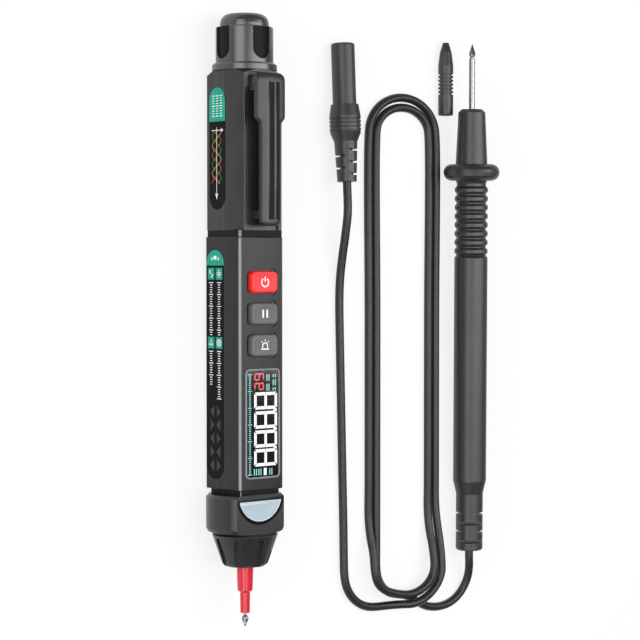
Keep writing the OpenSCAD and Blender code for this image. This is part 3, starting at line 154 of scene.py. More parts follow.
def bridge(bm, a, b):
    """Joins two closed rows of vertices by a band of faces."""
    n = len(a)
    for k in range(n):
        bm.faces.new((a[k], a[(k + 1) % n], b[(k + 1) % n], b[k]))


def loft(bm, rings, ends=True):
    """Skins a row of closed rings of points, each with the same number of them."""
    rows = [[bm.verts.new(p) for p in ring] for ring in rings]
    for a, b in zip(rows, rows[1:]):
        bridge(bm, a, b)
    if ends:
        bm.faces.new(list(reversed(rows[0])))
        bm.faces.new(rows[-1])
    return rows


def add_block(bm, low, high):
    """A plain block between two corners."""
    for v in bmesh.ops.create_cube(bm, size=1)["verts"]:
        v.co = Vector([lo + (c + 0.5) * (hi - lo) for c, lo, hi in zip(v.co, low, high)])


def to_mesh(bm, name):
    bmesh.ops.recalc_face_normals(bm, faces=bm.faces)
    mesh = bpy.data.meshes.new(name)
    bm.to_mesh(mesh)
    bm.free()
    return mesh


def make_piece(bm, name, finish, body, smooth=35):
    return place_mesh(to_mesh(bm, name), name, finish, body, smooth)


def ease(t):
    """Runs smoothly from 0 to 1."""
    t = min(max(t, 0), 1)
    return t * t * (3 - 2 * t)


strip_angle = 0.02  # degrees; above this an edge stays sharp, so that every strip of a bow shades flat


def bow_mesh(name, sections):
    """The body that a bowed shell is cut with, from its sections at places along the pen."""
    bm = bmesh.new()
    loft(bm, [[(x, y, axis_z + z) for x, z in section] for y, section in sections])
    mesh = to_mesh(bm, name)
    mesh.transform(Matrix.Scale(mm, 4))
    return mesh


def bowed_shell(name, node, finish, bow):
    """A case half whose flat CAD faces are cut down to their faintly bowed, soft-edged mould shape."""
    bm = bmesh.new()
    bm.from_mesh(nodes[node].data)
    bmesh.ops.remove_doubles(bm, verts=bm.verts, dist=0.0001 * mm)
    shell = bpy.data.objects.new(name, to_mesh(bm, name))
    cutter = bpy.data.objects.new("bow", bow)
    for piece in (shell, cutter):
        bpy.context.scene.collection.objects.link(piece)
    cut = shell.modifiers.new("bow", "BOOLEAN")
    cut.operation = "INTERSECT"
    cut.solver = "MANIFOLD"
    cut.object = cutter
    bpy.context.view_layer.update()
    mesh = bpy.data.meshes.new_from_object(shell.evaluated_get(bpy.context.evaluated_depsgraph_get()))
    for piece in (shell, cutter):
        bpy.data.objects.remove(piece)
    mesh.name = name
    mesh.materials.clear()
    mesh.transform(Matrix.Scale(1 / mm, 4))
    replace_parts(place_mesh(mesh, name, finish, "meter", smooth=strip_angle), node)


lower_ends = (-56.3, 28.8)
lower_wide = 9.72
lower_deep = 12
side_bow = 0.34
front_bow = 0.33
strips = 20
rim_steps = ((0, 0.3), (0.12, 0.12), (0.35, 0))


def lower_bow(inset):
    """The section of the lower case: sides and front bow in towards the edges, by parabolas in strips."""
    half = [(inset - lower_wide, -lower_deep)]
    half += [(inset - lower_wide + side_bow * (i / strips) ** 2, 0.6 + 0.4 * i) for i in range(strips + 1)]
    half += [(-9.22 + inset, 8.87), (-9.04 + inset, 9.05 - inset), (-8.86 + inset, 9.21 - inset)]
    half += [(-8.6 + 0.43 * i, 9.68 - inset - front_bow * (1 - i / strips) ** 2) for i in range(strips + 1)]
    return half + [(-x, z) for x, z in reversed(half[:-1])]


lower_stations = [(lower_ends[0] - 4, 0.3)] + [(lower_ends[0] + y, inset) for y, inset in rim_steps]
lower_stations += [(lower_ends[1] - y, inset) for y, inset in reversed(rim_steps)]
lower_stations += [(lower_ends[1] + 4, 0.3)]
lower_cut = bow_mesh("lower_cut", [(y, lower_bow(inset)) for y, inset in lower_stations])
# Painted highlights: the lower case's edges are painted paler, and its corner bevels paler still along the
# ridges.
satin_black = moulded("satin_black", "#161617", "#1b1b1c", 0.34, edge_highlight="#6c6c6e", shine=0.3, bevels="#8c8c8f")
bowed_shell("lower_case_front", "lower_front_shell", satin_black, lower_cut)
finish_node(satin_black, "shell", "lower_rear_shell")

# Upper case: two mouldings of satin dark grey ABS that clip together like the lower ones. The front one
# bows in at its left to the shallow pocket under the clip. The right side is a sliding door over the
# cells, with ribs for the thumb.
satin_grey = moulded("satin_grey", "#1e1e1f", "#242425", 0.32, edge_highlight="#77777a", shine=0.45)
upper_ends = (31, 84.8)
pocket_end_y = 76
pocket_run = 3.6
clear_z = 15


def upper_bow(y, inset):
    """The section of the upper case. It is cut only at its left, and stays open above for the clip's lugs."""
    side = [(-9.9 + inset, -12), (-9.9 + inset, 0.99), (-9.66 + inset, 1)]
    side += [(-9.5 + inset, 3), (-9.21 + inset, 5), (-8.88 + inset, 7), (-8.6 + inset, 8.2)]
    side += [(-8.25 + inset, 9.1), (-7.75 + inset / 2, 9.95 - inset)]
    share = ease((y - pocket_end_y) / pocket_run)
    side += [(-7.7 + 1.2 * share, 9.52 + 0.68 * share), (-6.38, 9.53 + 0.72 * share), (-6.35, clear_z)]
    return side + [(10.5, clear_z), (10.5, -12)]


upper_stations = [(10, 0.3)] + [(upper_ends[0] + y, inset) for y, inset in rim_steps]
upper_stations += [(pocket_end_y + 0.4 * i, 0) for i in range(10)] + [(upper_ends[1] + 30, 0)]
upper_cut = bow_mesh("upper_cut", [(y, upper_bow(y, inset)) for y, inset in upper_stations])
bowed_shell("upper_case_front", "upper_front_shell", satin_grey, upper_cut)
finish_node(satin_grey, "grey_shell", "upper_rear_shell", "battery_door")

# Groove shade: near-black bands laid as painted shade, one in the groove between the lower and the upper
# case, and one round the neck between the lower case and the collar. Each is a ring laid in its place.


def groove_shade_band(name, half, bevel, y0, y1):
    """A flat band with bevelled corners and softened rims, laid round the square case between y0 and y1."""
    rings = []
    for y, grow in ((y0, 0), (y0 + 0.13, 0.02), (y1 - 0.13, 0.02), (y1, 0)):
        h = half + grow
        corners = ((h - bevel, h), (h, h - bevel), (h, bevel - h), (h - bevel, -h),
                   (bevel - h, -h), (-h, bevel - h), (-h, h - bevel), (bevel - h, h))
        rings.append([(x, y, axis_z + z) for x, z in corners])
    bm = bmesh.new()
    rows = loft(bm, rings, ends=False)
    inner = [[bm.verts.new((v.co.x * 0.96, v.co.y, axis_z + (v.co.z - axis_z) * 0.96)) for v in row]
             for row in (rows[-1], rows[0])]
    for a, b in ((rows[-1], inner[0]), (inner[0], inner[1]), (inner[1], rows[0])):
        bridge(bm, a, b)
    make_piece(bm, name, groove_shade_black, "meter", smooth=20)


# Painted shade and highlight: the bands are darker and duller than the case, and their corner bevels are
# painted pale as the ridge's highlight.
groove_shade_black = moulded("groove_shade_black", "#101011", "#141415", 0.5, grain=0.3, edge_highlight="#2c2c2d", shine=0.12,
                      bevels="#7c7c7f")
groove_shade_band("case_groove_shade", 9.23, 0.72, 28.82, 30.98)
groove_shade_band("neck_groove_shade", 8.26, 0.26, -58.08, -56.32)

# Head: a neck ring, a slotted nut and a domed barrel screwed on the end, turned and moulded in black,
# with near-black pads laid in the nut's four slots as painted shade. The barrel holds the test lead's safety
# jack: a brass socket in an insulating sleeve, with its strap.
head_black = moulded("head_black", "#1f1f20", "#262627", 0.27, grain=0.15, depth=0.008, edge_highlight="#6c6c6f",
                     shine=1.0)
finish_node(head_black, "shell", "neck_ring", "head_nut", "head_barrel", "jack_insulator")
pad_half = 3.45
pad_start_y = 88.5
pad_top_r = 9.05
pad_foot_r = 8.98
# Painted shade: the pads are near-black and dull so that the nut's slots read dark.
slot_shade_black = moulded("slot_shade_black", "#0b0b0c", "#101011", 0.5, grain=0.2, depth=0.006, edge_highlight="#38383a", shine=0.12)
for quarter in range(4):
    rings = []
    for along in (0.05, 0.3, 0.7, 1.2, 1.9, 2.6, 3.45, 10.9):
        reach = math.sqrt(pad_half ** 2 - max(pad_half - along, 0) ** 2)
        across = [reach * (i / 4 - 1) for i in range(9)]
        arc = [(x, math.sqrt(pad_top_r ** 2 - x ** 2)) for x in across]
        arc += [(x, math.sqrt(pad_foot_r ** 2 - x ** 2)) for x in reversed(across)]
        for _ in range(quarter):
            arc = [(z, -x) for x, z in arc]
        rings.append([(x, pad_start_y + along, axis_z + z) for x, z in arc])
    bm = bmesh.new()
    loft(bm, rings)
    make_piece(bm, "slot_shade_pad_%d" % (quarter + 1), slot_shade_black, "meter")


def drawn_metal(name, colour, rough):
    """Bare metal with fine lines round it from turning or drawing and slight tarnish between them."""
    finish, tree, skin = new_finish(name)
    place = add_node(tree, "TexCoord", {}).outputs["Object"]
    stretch = add_node(tree, "Mapping", {"Scale": (300, 14000, 300), "Vector": place})
    lines = add_node(tree, "TexNoise", {"Scale": 1, "Detail": 3, "Vector": stretch.outputs["Vector"]})
    tarnish = add_node(tree, "TexNoise", {"Scale": 900, "Vector": place})
    full = paint(colour)
    dull = [c * 0.8 for c in full[:3]] + [1]
    shown = two_tones(tree, tarnish.outputs["Fac"], ((0.3, dull), (0.62, full)))
    bump = add_node(tree, "Bump", {"Strength": 0.35, "Distance": 0.012 * mm, "Height": lines.outputs["Fac"]})
    polish = add_node(tree, "MapRange", {"To Min": max(rough - 0.06, 0.03), "To Max": rough + 0.08,
                                         "Value": lines.outputs["Fac"]})
    set_inputs(tree, skin, {"Base Color": shown, "Normal": bump.outputs["Normal"],
                            "Roughness": polish.outputs["Result"], "Metallic": 1})
    return finish


brass = drawn_metal("brass", "#d9b160", 0.22)
finish_node(brass, "brass", "jack_socket", "jack_strap")

# Screws, clip pin and springs: zinc-plated and stainless steel, bought in. The screws hold the cases
# together from behind, and the springs press on the clip, the cells and the probe tip.
plated_steel = drawn_metal("plated_steel", "#b9babd", 0.3)
finish_node(plated_steel, "spring_steel", "shell_screws", "clip_pin", "clip_spring", "battery_spring",
            "battery_plate", "tip_spring")

# Circuit board with its chip, key switches, buzzer and the small board of the signal lamp: green
# glass-fibre board with a faint weave under its lacquer, and black moulded components soldered on.
board_green = moulded("board_green", "#0d4427", "#12512f", 0.35, grain=0.35, depth=0.015)
finish_node(board_green, "board", "circuit_board", "lamp_board")
component_black = moulded("component_black", "#161616", "#1e1e1f", 0.5, grain=0.12)
finish_node(component_black, "dark_part", "board_components", "buzzer", "key_switches")
lamp_white = moulded("lamp_white", "#e9e6da", "#f2f0e8", 0.35, grain=0.2, depth=0.008)
finish_node(lamp_white, "white_plastic", "display_frame", "signal_lamp", "torch_lamp")

# Cells: two AAA cells, steel cans in a printed plastic wrap. They lie end to end under the board,
# between a contact spring and a plate, and come out through the sliding door.
cell_wrap = moulded("cell_wrap", "#1f4f9c", "#2a5fb0", 0.28, grain=0.6, depth=0.01, coat=0.3)
finish_node(cell_wrap, "battery_wrap", "battery_1", "battery_2")

# Pocket clip: one black moulding with a broad root that turns on a steel pin, narrowing in two curved
# shoulders to an arm with two thin raised ribs, with near-black bands beside them as painted shade. A small
# spring under the root holds it down.
clip_root_half = 6.1
clip_arm_half = 4.1
clip_top = axis_z + 15
clip_thick = 2
clip_free_y = 32.3
clip_root_y = 83.5
clip_shoulder_y = (65.7, 68.9)
clip_corner = 2.2


def clip_half(y):
    low, high = clip_shoulder_y
    half = clip_arm_half + (clip_root_half - clip_arm_half) * ease((y - low) / (high - low))
    end = min(y - clip_free_y, clip_root_y - y)
    if end < clip_corner:
        half -= clip_corner - math.sqrt(max(clip_corner ** 2 - (clip_corner - end) ** 2, 0))
    return half


def clip_crown(y):
    """Drop of the clip's top at its two ends, where it is domed."""
    root, free = 3.4, 1.2
    drop = 0
    if clip_root_y - y < root:
        drop = 1.1 * (1 - math.sqrt(max(1 - ((root - clip_root_y + y) / root) ** 2, 0)))
    if y - clip_free_y < free:
        drop = 0.6 * (1 - math.sqrt(max(1 - ((free - y + clip_free_y) / free) ** 2, 0)))
    return drop


def clip_drop(share):
    """How far the clip's top has fallen off, as a share of its half width from the middle."""
    shares, drops = (0, 0.3, 0.6, 0.78, 0.9, 0.97, 1), (0, 0.05, 0.19, 0.31, 0.43, 0.61, 0.94)
    share = min(abs(share), 1)
    i = max(k for k in range(6) if shares[k] <= share)
    return drops[i] + (drops[i + 1] - drops[i]) * (share - shares[i]) / (shares[i + 1] - shares[i])


bm = bmesh.new()
clip_steps = [clip_free_y + 0.02, 32.6, 33, 33.6, 34.4] + [36 + 3 * i for i in range(10)]
clip_steps += [65.4, 66, 66.5, 67, 67.4, 67.9, 68.5, 69.2, 72, 75, 78, 79.9, 80.6, 81.2, 81.8, 82.4, 82.9]
clip_steps += [83.3, clip_root_y - 0.02]
clip_foot = clip_top - clip_thick
across = (-1, -0.97, -0.9, -0.78, -0.6, -0.3, 0, 0.3, 0.6, 0.78, 0.9, 0.97, 1)
rings = []
for y in clip_steps:
    half, top = clip_half(y), clip_top - clip_crown(y)
    rings.append([(a * half, y, top - clip_drop(a)) for a in across]
                 + [(half, y, clip_foot), (-half, y, clip_foot)])
loft(bm, rings)
for x in (-1.5, 1.5):
    rib = []
    for y in (34.2, 34.6, 50, 66, 80.2, 80.8):
        lift = -0.2 if y in (34.2, 80.8) else 0.3
        rib.append([(x - 0.42, y, clip_top - 0.6), (x - 0.3, y, clip_top + lift * 0.7),
                    (x - 0.1, y, clip_top + lift), (x + 0.1, y, clip_top + lift),
                    (x + 0.3, y, clip_top + lift * 0.7), (x + 0.36, y, clip_top - 0.6)])
    loft(bm, rib)
lug_top = clip_foot + 0.1
for side in (-1, 1):
    low_x, high_x = sorted((side * 2.65, side * (clip_root_half - 0.15)))
    add_block(bm, (low_x, clip_root_y - 6, axis_z + 10.2), (high_x, clip_root_y - 1.7, lug_top))
add_block(bm, (-clip_arm_half + 0.3, 35, axis_z + 9.8), (clip_arm_half - 0.3, 37.4, lug_top))
# Painted highlight: the clip's edges, the ribs' crests among them, are painted near white.
clip_black = moulded("clip_black", "#202021", "#262627", 0.32, edge_highlight="#b4b4b7", shine=0.4)
clip = make_piece(bm, "clip_moulding", clip_black, "clip", smooth=50)
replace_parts(clip, "pocket_clip")
# Painted shade: near-black matt bands laid on the clip's top between and right of the ribs, where the ribs'
# shade falls.
bm = bmesh.new()
for low_x, high_x in ((-1.02, 1.02), (1.92, 3.3)):
    band = []
    for y in (34.5, 36, 50, 64, 66, 66.8, 67.4, 68, 70, 78, 80.3):
        tops = [(low_x + (high_x - low_x) * k / 4, 0.02 if 0 < k < 4 else 0) for k in range(5)]
        band.append([(x, y, clip_top - clip_drop(x / clip_half(y)) + up) for x, up in tops]
                    + [(high_x, y, clip_top - 0.8), (low_x, y, clip_top - 0.8)])
    loft(bm, band)
clip_band_shade = moulded("clip_band_shade", "#101011", "#151516", 0.6, grain=0.12, depth=0.03, shine=0.15,
                    edge_highlight="#202021")
make_piece(bm, "clip_shade_bands", clip_band_shade, "clip")

# Labels: thin black polyester overlays with round ends, glued in shallow pockets of the left sides.
# They are screen-printed in green, white and three wave colours; the lower one has pressed triangles.
lower_label_x = -9.7
lower_label_z = axis_z - 3.8
lower_label_ends = (-53.1, 24.4)
lower_label_w = 9.9
upper_label_z = axis_z - 2.7
upper_label_ends = (38, 79)
upper_label_w = 9
upper_lean = math.atan(0.3 / 11.4)
upper_face_x = 4.5 * math.tan(upper_lean) - 9.7
ink_lift = 0.012


def overlay(name, dark, light, rough, coat=0.0, shine=0.2):
    """Printed film: an even ink with a trace of orange peel, and a clear coat where it is glossy."""
    return moulded(name, dark, light, rough, grain=0.8, depth=0.004, edge=0.05, coat=coat, shine=shine)


film_black = overlay("film_black", "#060606", "#0a0a0a", 0.3, shine=0.08)
ink_green = overlay("ink_green", "#0f8c74", "#159a80", 0.3)
ink_white = overlay("ink_white", "#e8eaea", "#f4f5f5", 0.4)
ink_amber = overlay("ink_amber", "#b98a3a", "#c89a48", 0.4)
ink_leaf = overlay("ink_leaf", "#2f7a40", "#3c8a4c", 0.4)
ink_rust = overlay("ink_rust", "#a8463a", "#b85548", 0.4)


def stadium(half_w, low, high, n=20):
    """Outline of a strip with two round ends, as (across, along)."""
    points = [(half_w * math.cos(a), high - half_w + half_w * math.sin(a))
              for a in [math.pi * i / n for i in range(n + 1)]]
    return points + [(half_w * math.cos(a), low + half_w + half_w * math.sin(a))
                     for a in [math.pi + math.pi * i / n for i in range(n + 1)]]


def on_lower_side(u, y, out):
    """A place on the lower body's left side: u up across the label, out from the face."""
    return (lower_label_x - out, y, lower_label_z + u)


def on_upper_side(u, y, out):
    """The same on the upper body's left side, which leans in a little towards the back."""
    x = upper_face_x - u * math.sin(upper_lean) - out * math.cos(upper_lean)
    return (x, y, upper_label_z + u * math.cos(upper_lean))


def print_shape(bm, outline, place, low, high):
    """A flat printed or pressed shape: its outline raised from low to high off the face."""
    loft(bm, [[place(u, y, low) for u, y in outline], [place(u, y, high) for u, y in outline]])


def print_line(bm, points, width, place, high):
    """A printed line of even width along a row of points."""
    rings = []
    for i, (u, y) in enumerate(points):
        a, b = points[max(i - 1, 0)], points[min(i + 1, len(points) - 1)]
        du, dy = b[0] - a[0], b[1] - a[1]
        n = math.hypot(du, dy)
        su, sy = -dy / n * width / 2, du / n * width / 2
        rings.append([place(u - su, y - sy, 0), place(u + su, y + sy, 0),
                      place(u + su, y + sy, high), place(u - su, y - sy, high)])
    loft(bm, rings)


def box_outline(u, y, half_u, half_y):
    """Outline of an upright rectangle round a point."""
    corners = ((-1, -1), (1, -1), (1, 1), (-1, 1))
    return [(u + across * half_u, y + along * half_y) for across, along in corners]


def arc_points(u, y, r, start, end, n=24):
    """Points along an arc round a point, between two angles in degrees."""
    turns = [math.radians(start + (end - start) * i / n) for i in range(n + 1)]
    return [(u + r * math.cos(a), y + r * math.sin(a)) for a in turns]


bm = bmesh.new()
print_shape(bm, stadium(lower_label_w / 2, *lower_label_ends), on_lower_side, -0.44, 0)
lower_film = make_piece(bm, "lower_label_film", film_black, "meter")
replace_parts(lower_film, "lower_label")
bm = bmesh.new()
print_shape(bm, stadium(upper_label_w / 2, *upper_label_ends), on_upper_side, -0.44, 0)
upper_film = make_piece(bm, "upper_label_film", film_black, "meter")
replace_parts(upper_film, "upper_label")

# Green parts: the round cap of each label and four boxes that stand before the columns of marks.
left_column, right_column = -2.25, 2.15
top_box_y, low_box_y = 16.4, -6.9
bm = bmesh.new()
cap_points = [p for p in stadium(lower_label_w / 2 - 0.05, *lower_label_ends) if p[1] > 10]
print_shape(bm, cap_points + [(-4.9, 19.2), (4.9, 19.2)], on_lower_side, -0.01, ink_lift)
cap_points = [p for p in stadium(upper_label_w / 2 - 0.05, *upper_label_ends) if p[1] > 60]
print_shape(bm, cap_points + [(-4.45, 67.6), (4.45, 67.6)], on_upper_side, -0.01, ink_lift)
for u in (left_column, right_column):
    for y in (top_box_y, low_box_y):
        print_shape(bm, box_outline(u, y, 1.75, 1.95), on_lower_side, -0.01, ink_lift)
make_piece(bm, "label_green", ink_green, "meter")

# White marks: plain scales of ticks down both columns, a wave, a cell, a capacitor and a lamp as small
# signs in the green boxes, and the arrows of the upper label's axes.
tick_pitch = 0.8
hairline = 0.28
bm = bmesh.new()
for u, runs in ((left_column, ((13.4, -4.2), (-9.8, -21.4))), (right_column, ((13.4, -4.2), (-9.8, -26)))):
    for start, end in runs:
        for i in range(int((start - end) / tick_pitch) + 1):
            reach = 0.62 if i % 5 else 1.15
            print_shape(bm, box_outline(u, start - i * tick_pitch, reach, 0.14), on_lower_side, 0, ink_lift)
wave = [(left_column + 0.9 * math.sin(2 * math.pi * i / 16), top_box_y - 1.2 + 0.15 * i) for i in range(17)]
signs = [(0.3, wave), (hairline, arc_points(right_column, low_box_y, 1.1, 0, 360, 20))]
signs += [(hairline, [(right_column - 1.1, y), (right_column + 1.1, y)]) for y in (16.1, 16.7)]
signs += [(hairline, [(right_column, y), (right_column, y + 1.1)]) for y in (15, 16.7)]
signs += [(hairline, [(left_column - r, y), (left_column + r, y)]) for y, r in ((-7.4, 1.2), (-6.6, 0.6))]
signs += [(hairline, [(left_column, y0), (left_column, y1)]) for y0, y1 in ((-8.3, -7.4), (-6.6, -5.5))]
signs += [(0.25, [(right_column - 0.7, low_box_y - rise), (right_column + 0.7, low_box_y + rise)])
          for rise in (0.7, -0.7)]
signs += [(1.6, [(0, 21.2), (0, 22.4)])] + [(0.5, [(u, 20.9), (u, 21.9)]) for u in (-1.8, 1.8)]
for width, points in signs:
    print_line(bm, points, width, on_lower_side, 2 * ink_lift)
for points in ([(-0.3, 65.6), (-0.3, 42.6)], [(-3.2, 64.6), (2.4, 64.6)]):
    print_line(bm, points, 0.22, on_upper_side, 2 * ink_lift)
for arrow in ([(-1.1, 43.6), (-0.3, 41.4), (0.5, 43.6), (-0.3, 43.0)],
              [(2, 65.3), (3.6, 64.6), (2, 63.9), (2.4, 64.6)]):
    print_shape(bm, arrow, on_upper_side, 0, 2 * ink_lift)
for u in (-2.16, 0, 2.16):
    for i in range(9):
        reach = 0.5 if i % 4 else 0.8
        print_shape(bm, box_outline(u, 76.2 - i * 0.85, reach, 0.13), on_upper_side, 0, 2 * ink_lift)
make_piece(bm, "label_white", ink_white, "meter")

# Three sine waves a third of a turn apart, each in its own ink, cross the upper label's axis.
for tone, shift, finish in (("amber", 0, ink_amber), ("leaf", 1, ink_leaf), ("rust", 2, ink_rust)):
    bm = bmesh.new()
    curve = [(-0.3 + 2.5 * math.cos(2 * math.pi * (i / 32 + shift / 3)), 64.2 - i * 17.5 / 60)
             for i in range(61)]
    print_line(bm, curve, 0.26, on_upper_side, ink_lift * (1.2 + 0.5 * shift))
    make_piece(bm, "label_wave_" + tone, finish, "meter")

# Pressed triangles in the lower label's plain end, five rows of two, for the fingers' grip.
bm = bmesh.new()
for row in range(5):
    y = -30.1 - row * 4.55
    for u, way in ((-1.55, -1), (1.85, 1)):
        way = way if row % 2 == 0 else -way
        tri = [(u - way * 0.95, y - 2), (u - way * 0.95, y + 2), (u + way * 1.15, y)]
        small = [(u - way * 0.55, y - 1.1), (u - way * 0.55, y + 1.1), (u + way * 0.55, y)]
        loft(bm, [[on_lower_side(a, b, -0.05) for a, b in tri], [on_lower_side(a, b, 0.05) for a, b in tri],
                  [on_lower_side(a, b, 0.22) for a, b in small]])
grip_black = moulded("grip_black", "#2b2b2c", "#333334", 0.5, grain=0.15, edge_highlight="#5c5c5e")
make_piece(bm, "label_triangles", grip_black, "meter", smooth=20)

# Keys: three moulded caps that stand in rounded recesses of the front, each with softened edges and a
# top dished a little for the finger. The power key is red, the others grey; the signs are pad-printed.
key_half_w = 5.45
key_half_l = 3.55
key_corner = 1.5
key_top = axis_z + 11.2
key_foot = axis_z + 7.3
key_stem_foot = axis_z + 6.1
key_stem_r = 1.6
key_pitch = 10.6
power_key_y = 13.65
hold_key_y = power_key_y - key_pitch
function_key_y = power_key_y - 2 * key_pitch


def rounded_outline(half_w, half_l, corner, n=6):
    """Outline of a plate with four round corners, as (across, along)."""
    points = []
    for cx, cy, turn in ((1, 1, 0), (-1, 1, 90), (-1, -1, 180), (1, -1, 270)):
        for i in range(n + 1):
            a = math.radians(turn + 90 * i / n)
            points.append((cx * (half_w - corner) + corner * math.cos(a),
                           cy * (half_l - corner) + corner * math.sin(a)))
    return points


def key_cap(name, y, finish, body):
    """A key's cap, with a rim round its foot that keeps it in the case, and a stem on its switch."""
    bm = bmesh.new()
    rings = []
    levels = [(0.6, key_foot, 1), (0.6, axis_z + 8.1, 1), (0, axis_z + 8.1, 1), (0, key_top - 0.62, 1)]
    levels += [(-0.07, key_top - 0.3, 0.97), (-0.22, key_top - 0.1, 0.93), (-0.45, key_top, 0.86)]
    levels += [(-0.75, key_top - 0.01, 0.72), (-1.35, key_top - 0.07, 0.5), (-2.2, key_top - 0.13, 0.25)]
    for grow, z, share in levels:
        corner = max(key_corner * share + max(grow, 0), 0.25)
        outline = rounded_outline(key_half_w + grow, key_half_l + grow, corner)
        rings.append([(x, y + l, z) for x, l in outline])
    loft(bm, rings)
    round_stem = arc_points(0, y, key_stem_r, 0, 360)[:-1]
    loft(bm, [[(x, l, z) for x, l in round_stem] for z in (key_stem_foot, key_foot + 0.05)])
    return make_piece(bm, name, finish, body, smooth=28)


red_plastic = moulded("red_plastic", "#ee2226", "#f52d30", 0.36, grain=0.2, depth=0.01, edge_highlight="#ff7a78")
key_grey = moulded("key_grey", "#58585a", "#626264", 0.48, grain=0.16, depth=0.03, edge_highlight="#98989b")
power_cap = key_cap("power_key_cap", power_key_y, red_plastic, "power_key")
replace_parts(power_cap, "power_key")
hold_cap = key_cap("hold_key_cap", hold_key_y, key_grey, "hold_key")
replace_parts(hold_cap, "hold_key")
function_cap = key_cap("function_key_cap", function_key_y, key_grey, "function_key")
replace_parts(function_cap, "function_key")


def on_key(middle):
    """Gives the place of a sign's points on the dished top of the key that lies at this middle."""
    def place(u, y, out):
        share = min(max(abs(u) / (key_half_w - 0.6), abs(y - middle) / (key_half_l - 0.6)), 1)
        return (u, y, key_top - 0.13 * (1 - share ** 2) + out)
    return place


sign_ink = 0.05
power_top = on_key(power_key_y)
bm = bmesh.new()
print_line(bm, arc_points(0, power_key_y - 0.1, 1.45, 125, 415), 0.42, power_top, sign_ink)
print_line(bm, [(0, power_key_y + 0.2), (0, power_key_y + 1.75)], 0.42, power_top, sign_ink)
make_piece(bm, "power_key_sign", ink_white, "power_key")
bm = bmesh.new()
for u in (-0.85, 0.85):
    print_line(bm, [(u, hold_key_y - 1.35), (u, hold_key_y + 1.35)], 0.62, on_key(hold_key_y), sign_ink)
make_piece(bm, "hold_key_sign", ink_white, "hold_key")
lamp_y = function_key_y - 0.2
lamp_sign = [(0.34, arc_points(0, lamp_y, 1.05, 0, 180, 14))]
lamp_sign += [(0.42, [(-1.65, lamp_y - 1.05), (1.65, lamp_y - 1.05)])]
lamp_sign += [(0.34, [(u, lamp_y), (u, lamp_y - 0.75)]) for u in (-1.05, 1.05)]
lamp_sign += [(0.28, [arc_points(0, lamp_y, r, a, a, 1)[0] for r in (1.6, 2.2)]) for a in (45, 90, 135)]
bm = bmesh.new()
for width, points in lamp_sign:
    print_line(bm, points, width, on_key(function_key_y), sign_ink)
make_piece(bm, "function_key_sign", ink_white, "function_key")

# Display: a light grey bezel round a glossy window. The liquid-crystal glass under it shows bright
# segments on black: four digits that read along the pen, two small red ones, and a bar scale.
display_y = -33.9
bezel_half_w = 7.35
bezel_half_l = 18.5
bezel_rim = 0.62
bezel_top = axis_z + 10.05
bezel_foot = axis_z + 8.35
segment_lift = 0.03
window_top = axis_z + 9.8
bm = bmesh.new()
rings = []
for inset, z in ((0, bezel_foot), (0, bezel_top - 0.2), (0.05, bezel_top - 0.07), (0.18, bezel_top),
                 (bezel_rim - 0.22, bezel_top), (bezel_rim - 0.06, bezel_top - 0.06),
                 (bezel_rim, bezel_top - 0.2), (bezel_rim, bezel_foot)):
    outline = rounded_outline(bezel_half_w - inset, bezel_half_l - inset, max(1.6 - inset * 0.8, 0.4))
    rings.append([(x, display_y + l, z) for x, l in outline])
rows = loft(bm, rings, ends=False)
bridge(bm, rows[-1], rows[0])
bezel_grey = moulded("bezel_grey", "#707275", "#7b7d80", 0.32, grain=0.15, depth=0.006, edge_highlight="#c4c6c8")
bezel = make_piece(bm, "display_bezel_rim", bezel_grey, "meter")
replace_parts(bezel, "display_bezel")

bm = bmesh.new()
outline = rounded_outline(bezel_half_w - bezel_rim - 0.02, bezel_half_l - bezel_rim - 0.02, 0.9)
loft(bm, [[(x, display_y + l, z) for x, l in outline] for z in (window_top - 1.3, window_top)])
window_black = overlay("window_black", "#040405", "#060607", 0.06, shine=0.5)
window = make_piece(bm, "display_window_pane", window_black, "meter")
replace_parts(window, "display_window")
glass_dark = overlay("glass_dark", "#15181a", "#1b1f22", 0.15)
finish_node(glass_dark, "window", "display_glass")


def on_window(u, y, out):
    return (u, y, window_top + out)


def digit(bm, u0, u1, y0, y1, width, skip=()):
    """A seven-bar digit lying on its side: its top is at u0 and its foot at u1, and it reads along -Y."""
    um, gap, cut = (u0 + u1) / 2, width * 0.07, width * 0.28
    top = [(u0, y0 - cut - gap), (u0, y1 + cut + gap),
           (u0 + width, y1 + width + gap), (u0 + width, y0 - width - gap)]
    side = [(u0 + cut + gap, y0), (um - gap, y0), (um - gap, y0 - width / 2),
            (um - width / 2 - gap, y0 - width), (u0 + width + gap, y0 - width)]
    middle = [(um, y0 - width / 2 - gap), (um - width / 2, y0 - width - gap),
              (um - width / 2, y1 + width + gap), (um, y1 + width / 2 + gap),
              (um + width / 2, y1 + width + gap), (um + width / 2, y0 - width - gap)]
    bars = {"top": top, "middle": middle, "foot": [(u0 + u1 - u, y) for u, y in top], "a": side,
            "b": [(u, y0 + y1 - y) for u, y in side], "c": [(u0 + u1 - u, y) for u, y in side],
            "d": [(u0 + u1 - u, y0 + y1 - y) for u, y in side]}
    for name, points in bars.items():
        if name not in skip:
            print_shape(bm, points, on_window, 0, segment_lift)


bm = bmesh.new()
for start in (-23.35, -29.75, -36.15, -42.45):
    digit(bm, -3.7, 6.1, start, start - 5.75, 1.05)
for y in (-29.45, -35.85, -42.2):
    print_shape(bm, box_outline(5.3, y, 0.7, 0.4), on_window, 0, segment_lift)
print_shape(bm, box_outline(1, -50.1, 0.6, 1.2), on_window, 0, segment_lift)
segment_white = overlay("segment_white", "#e6ebe9", "#f1f5f3", 0.2, coat=1.0)
make_piece(bm, "display_digits", segment_white, "meter")

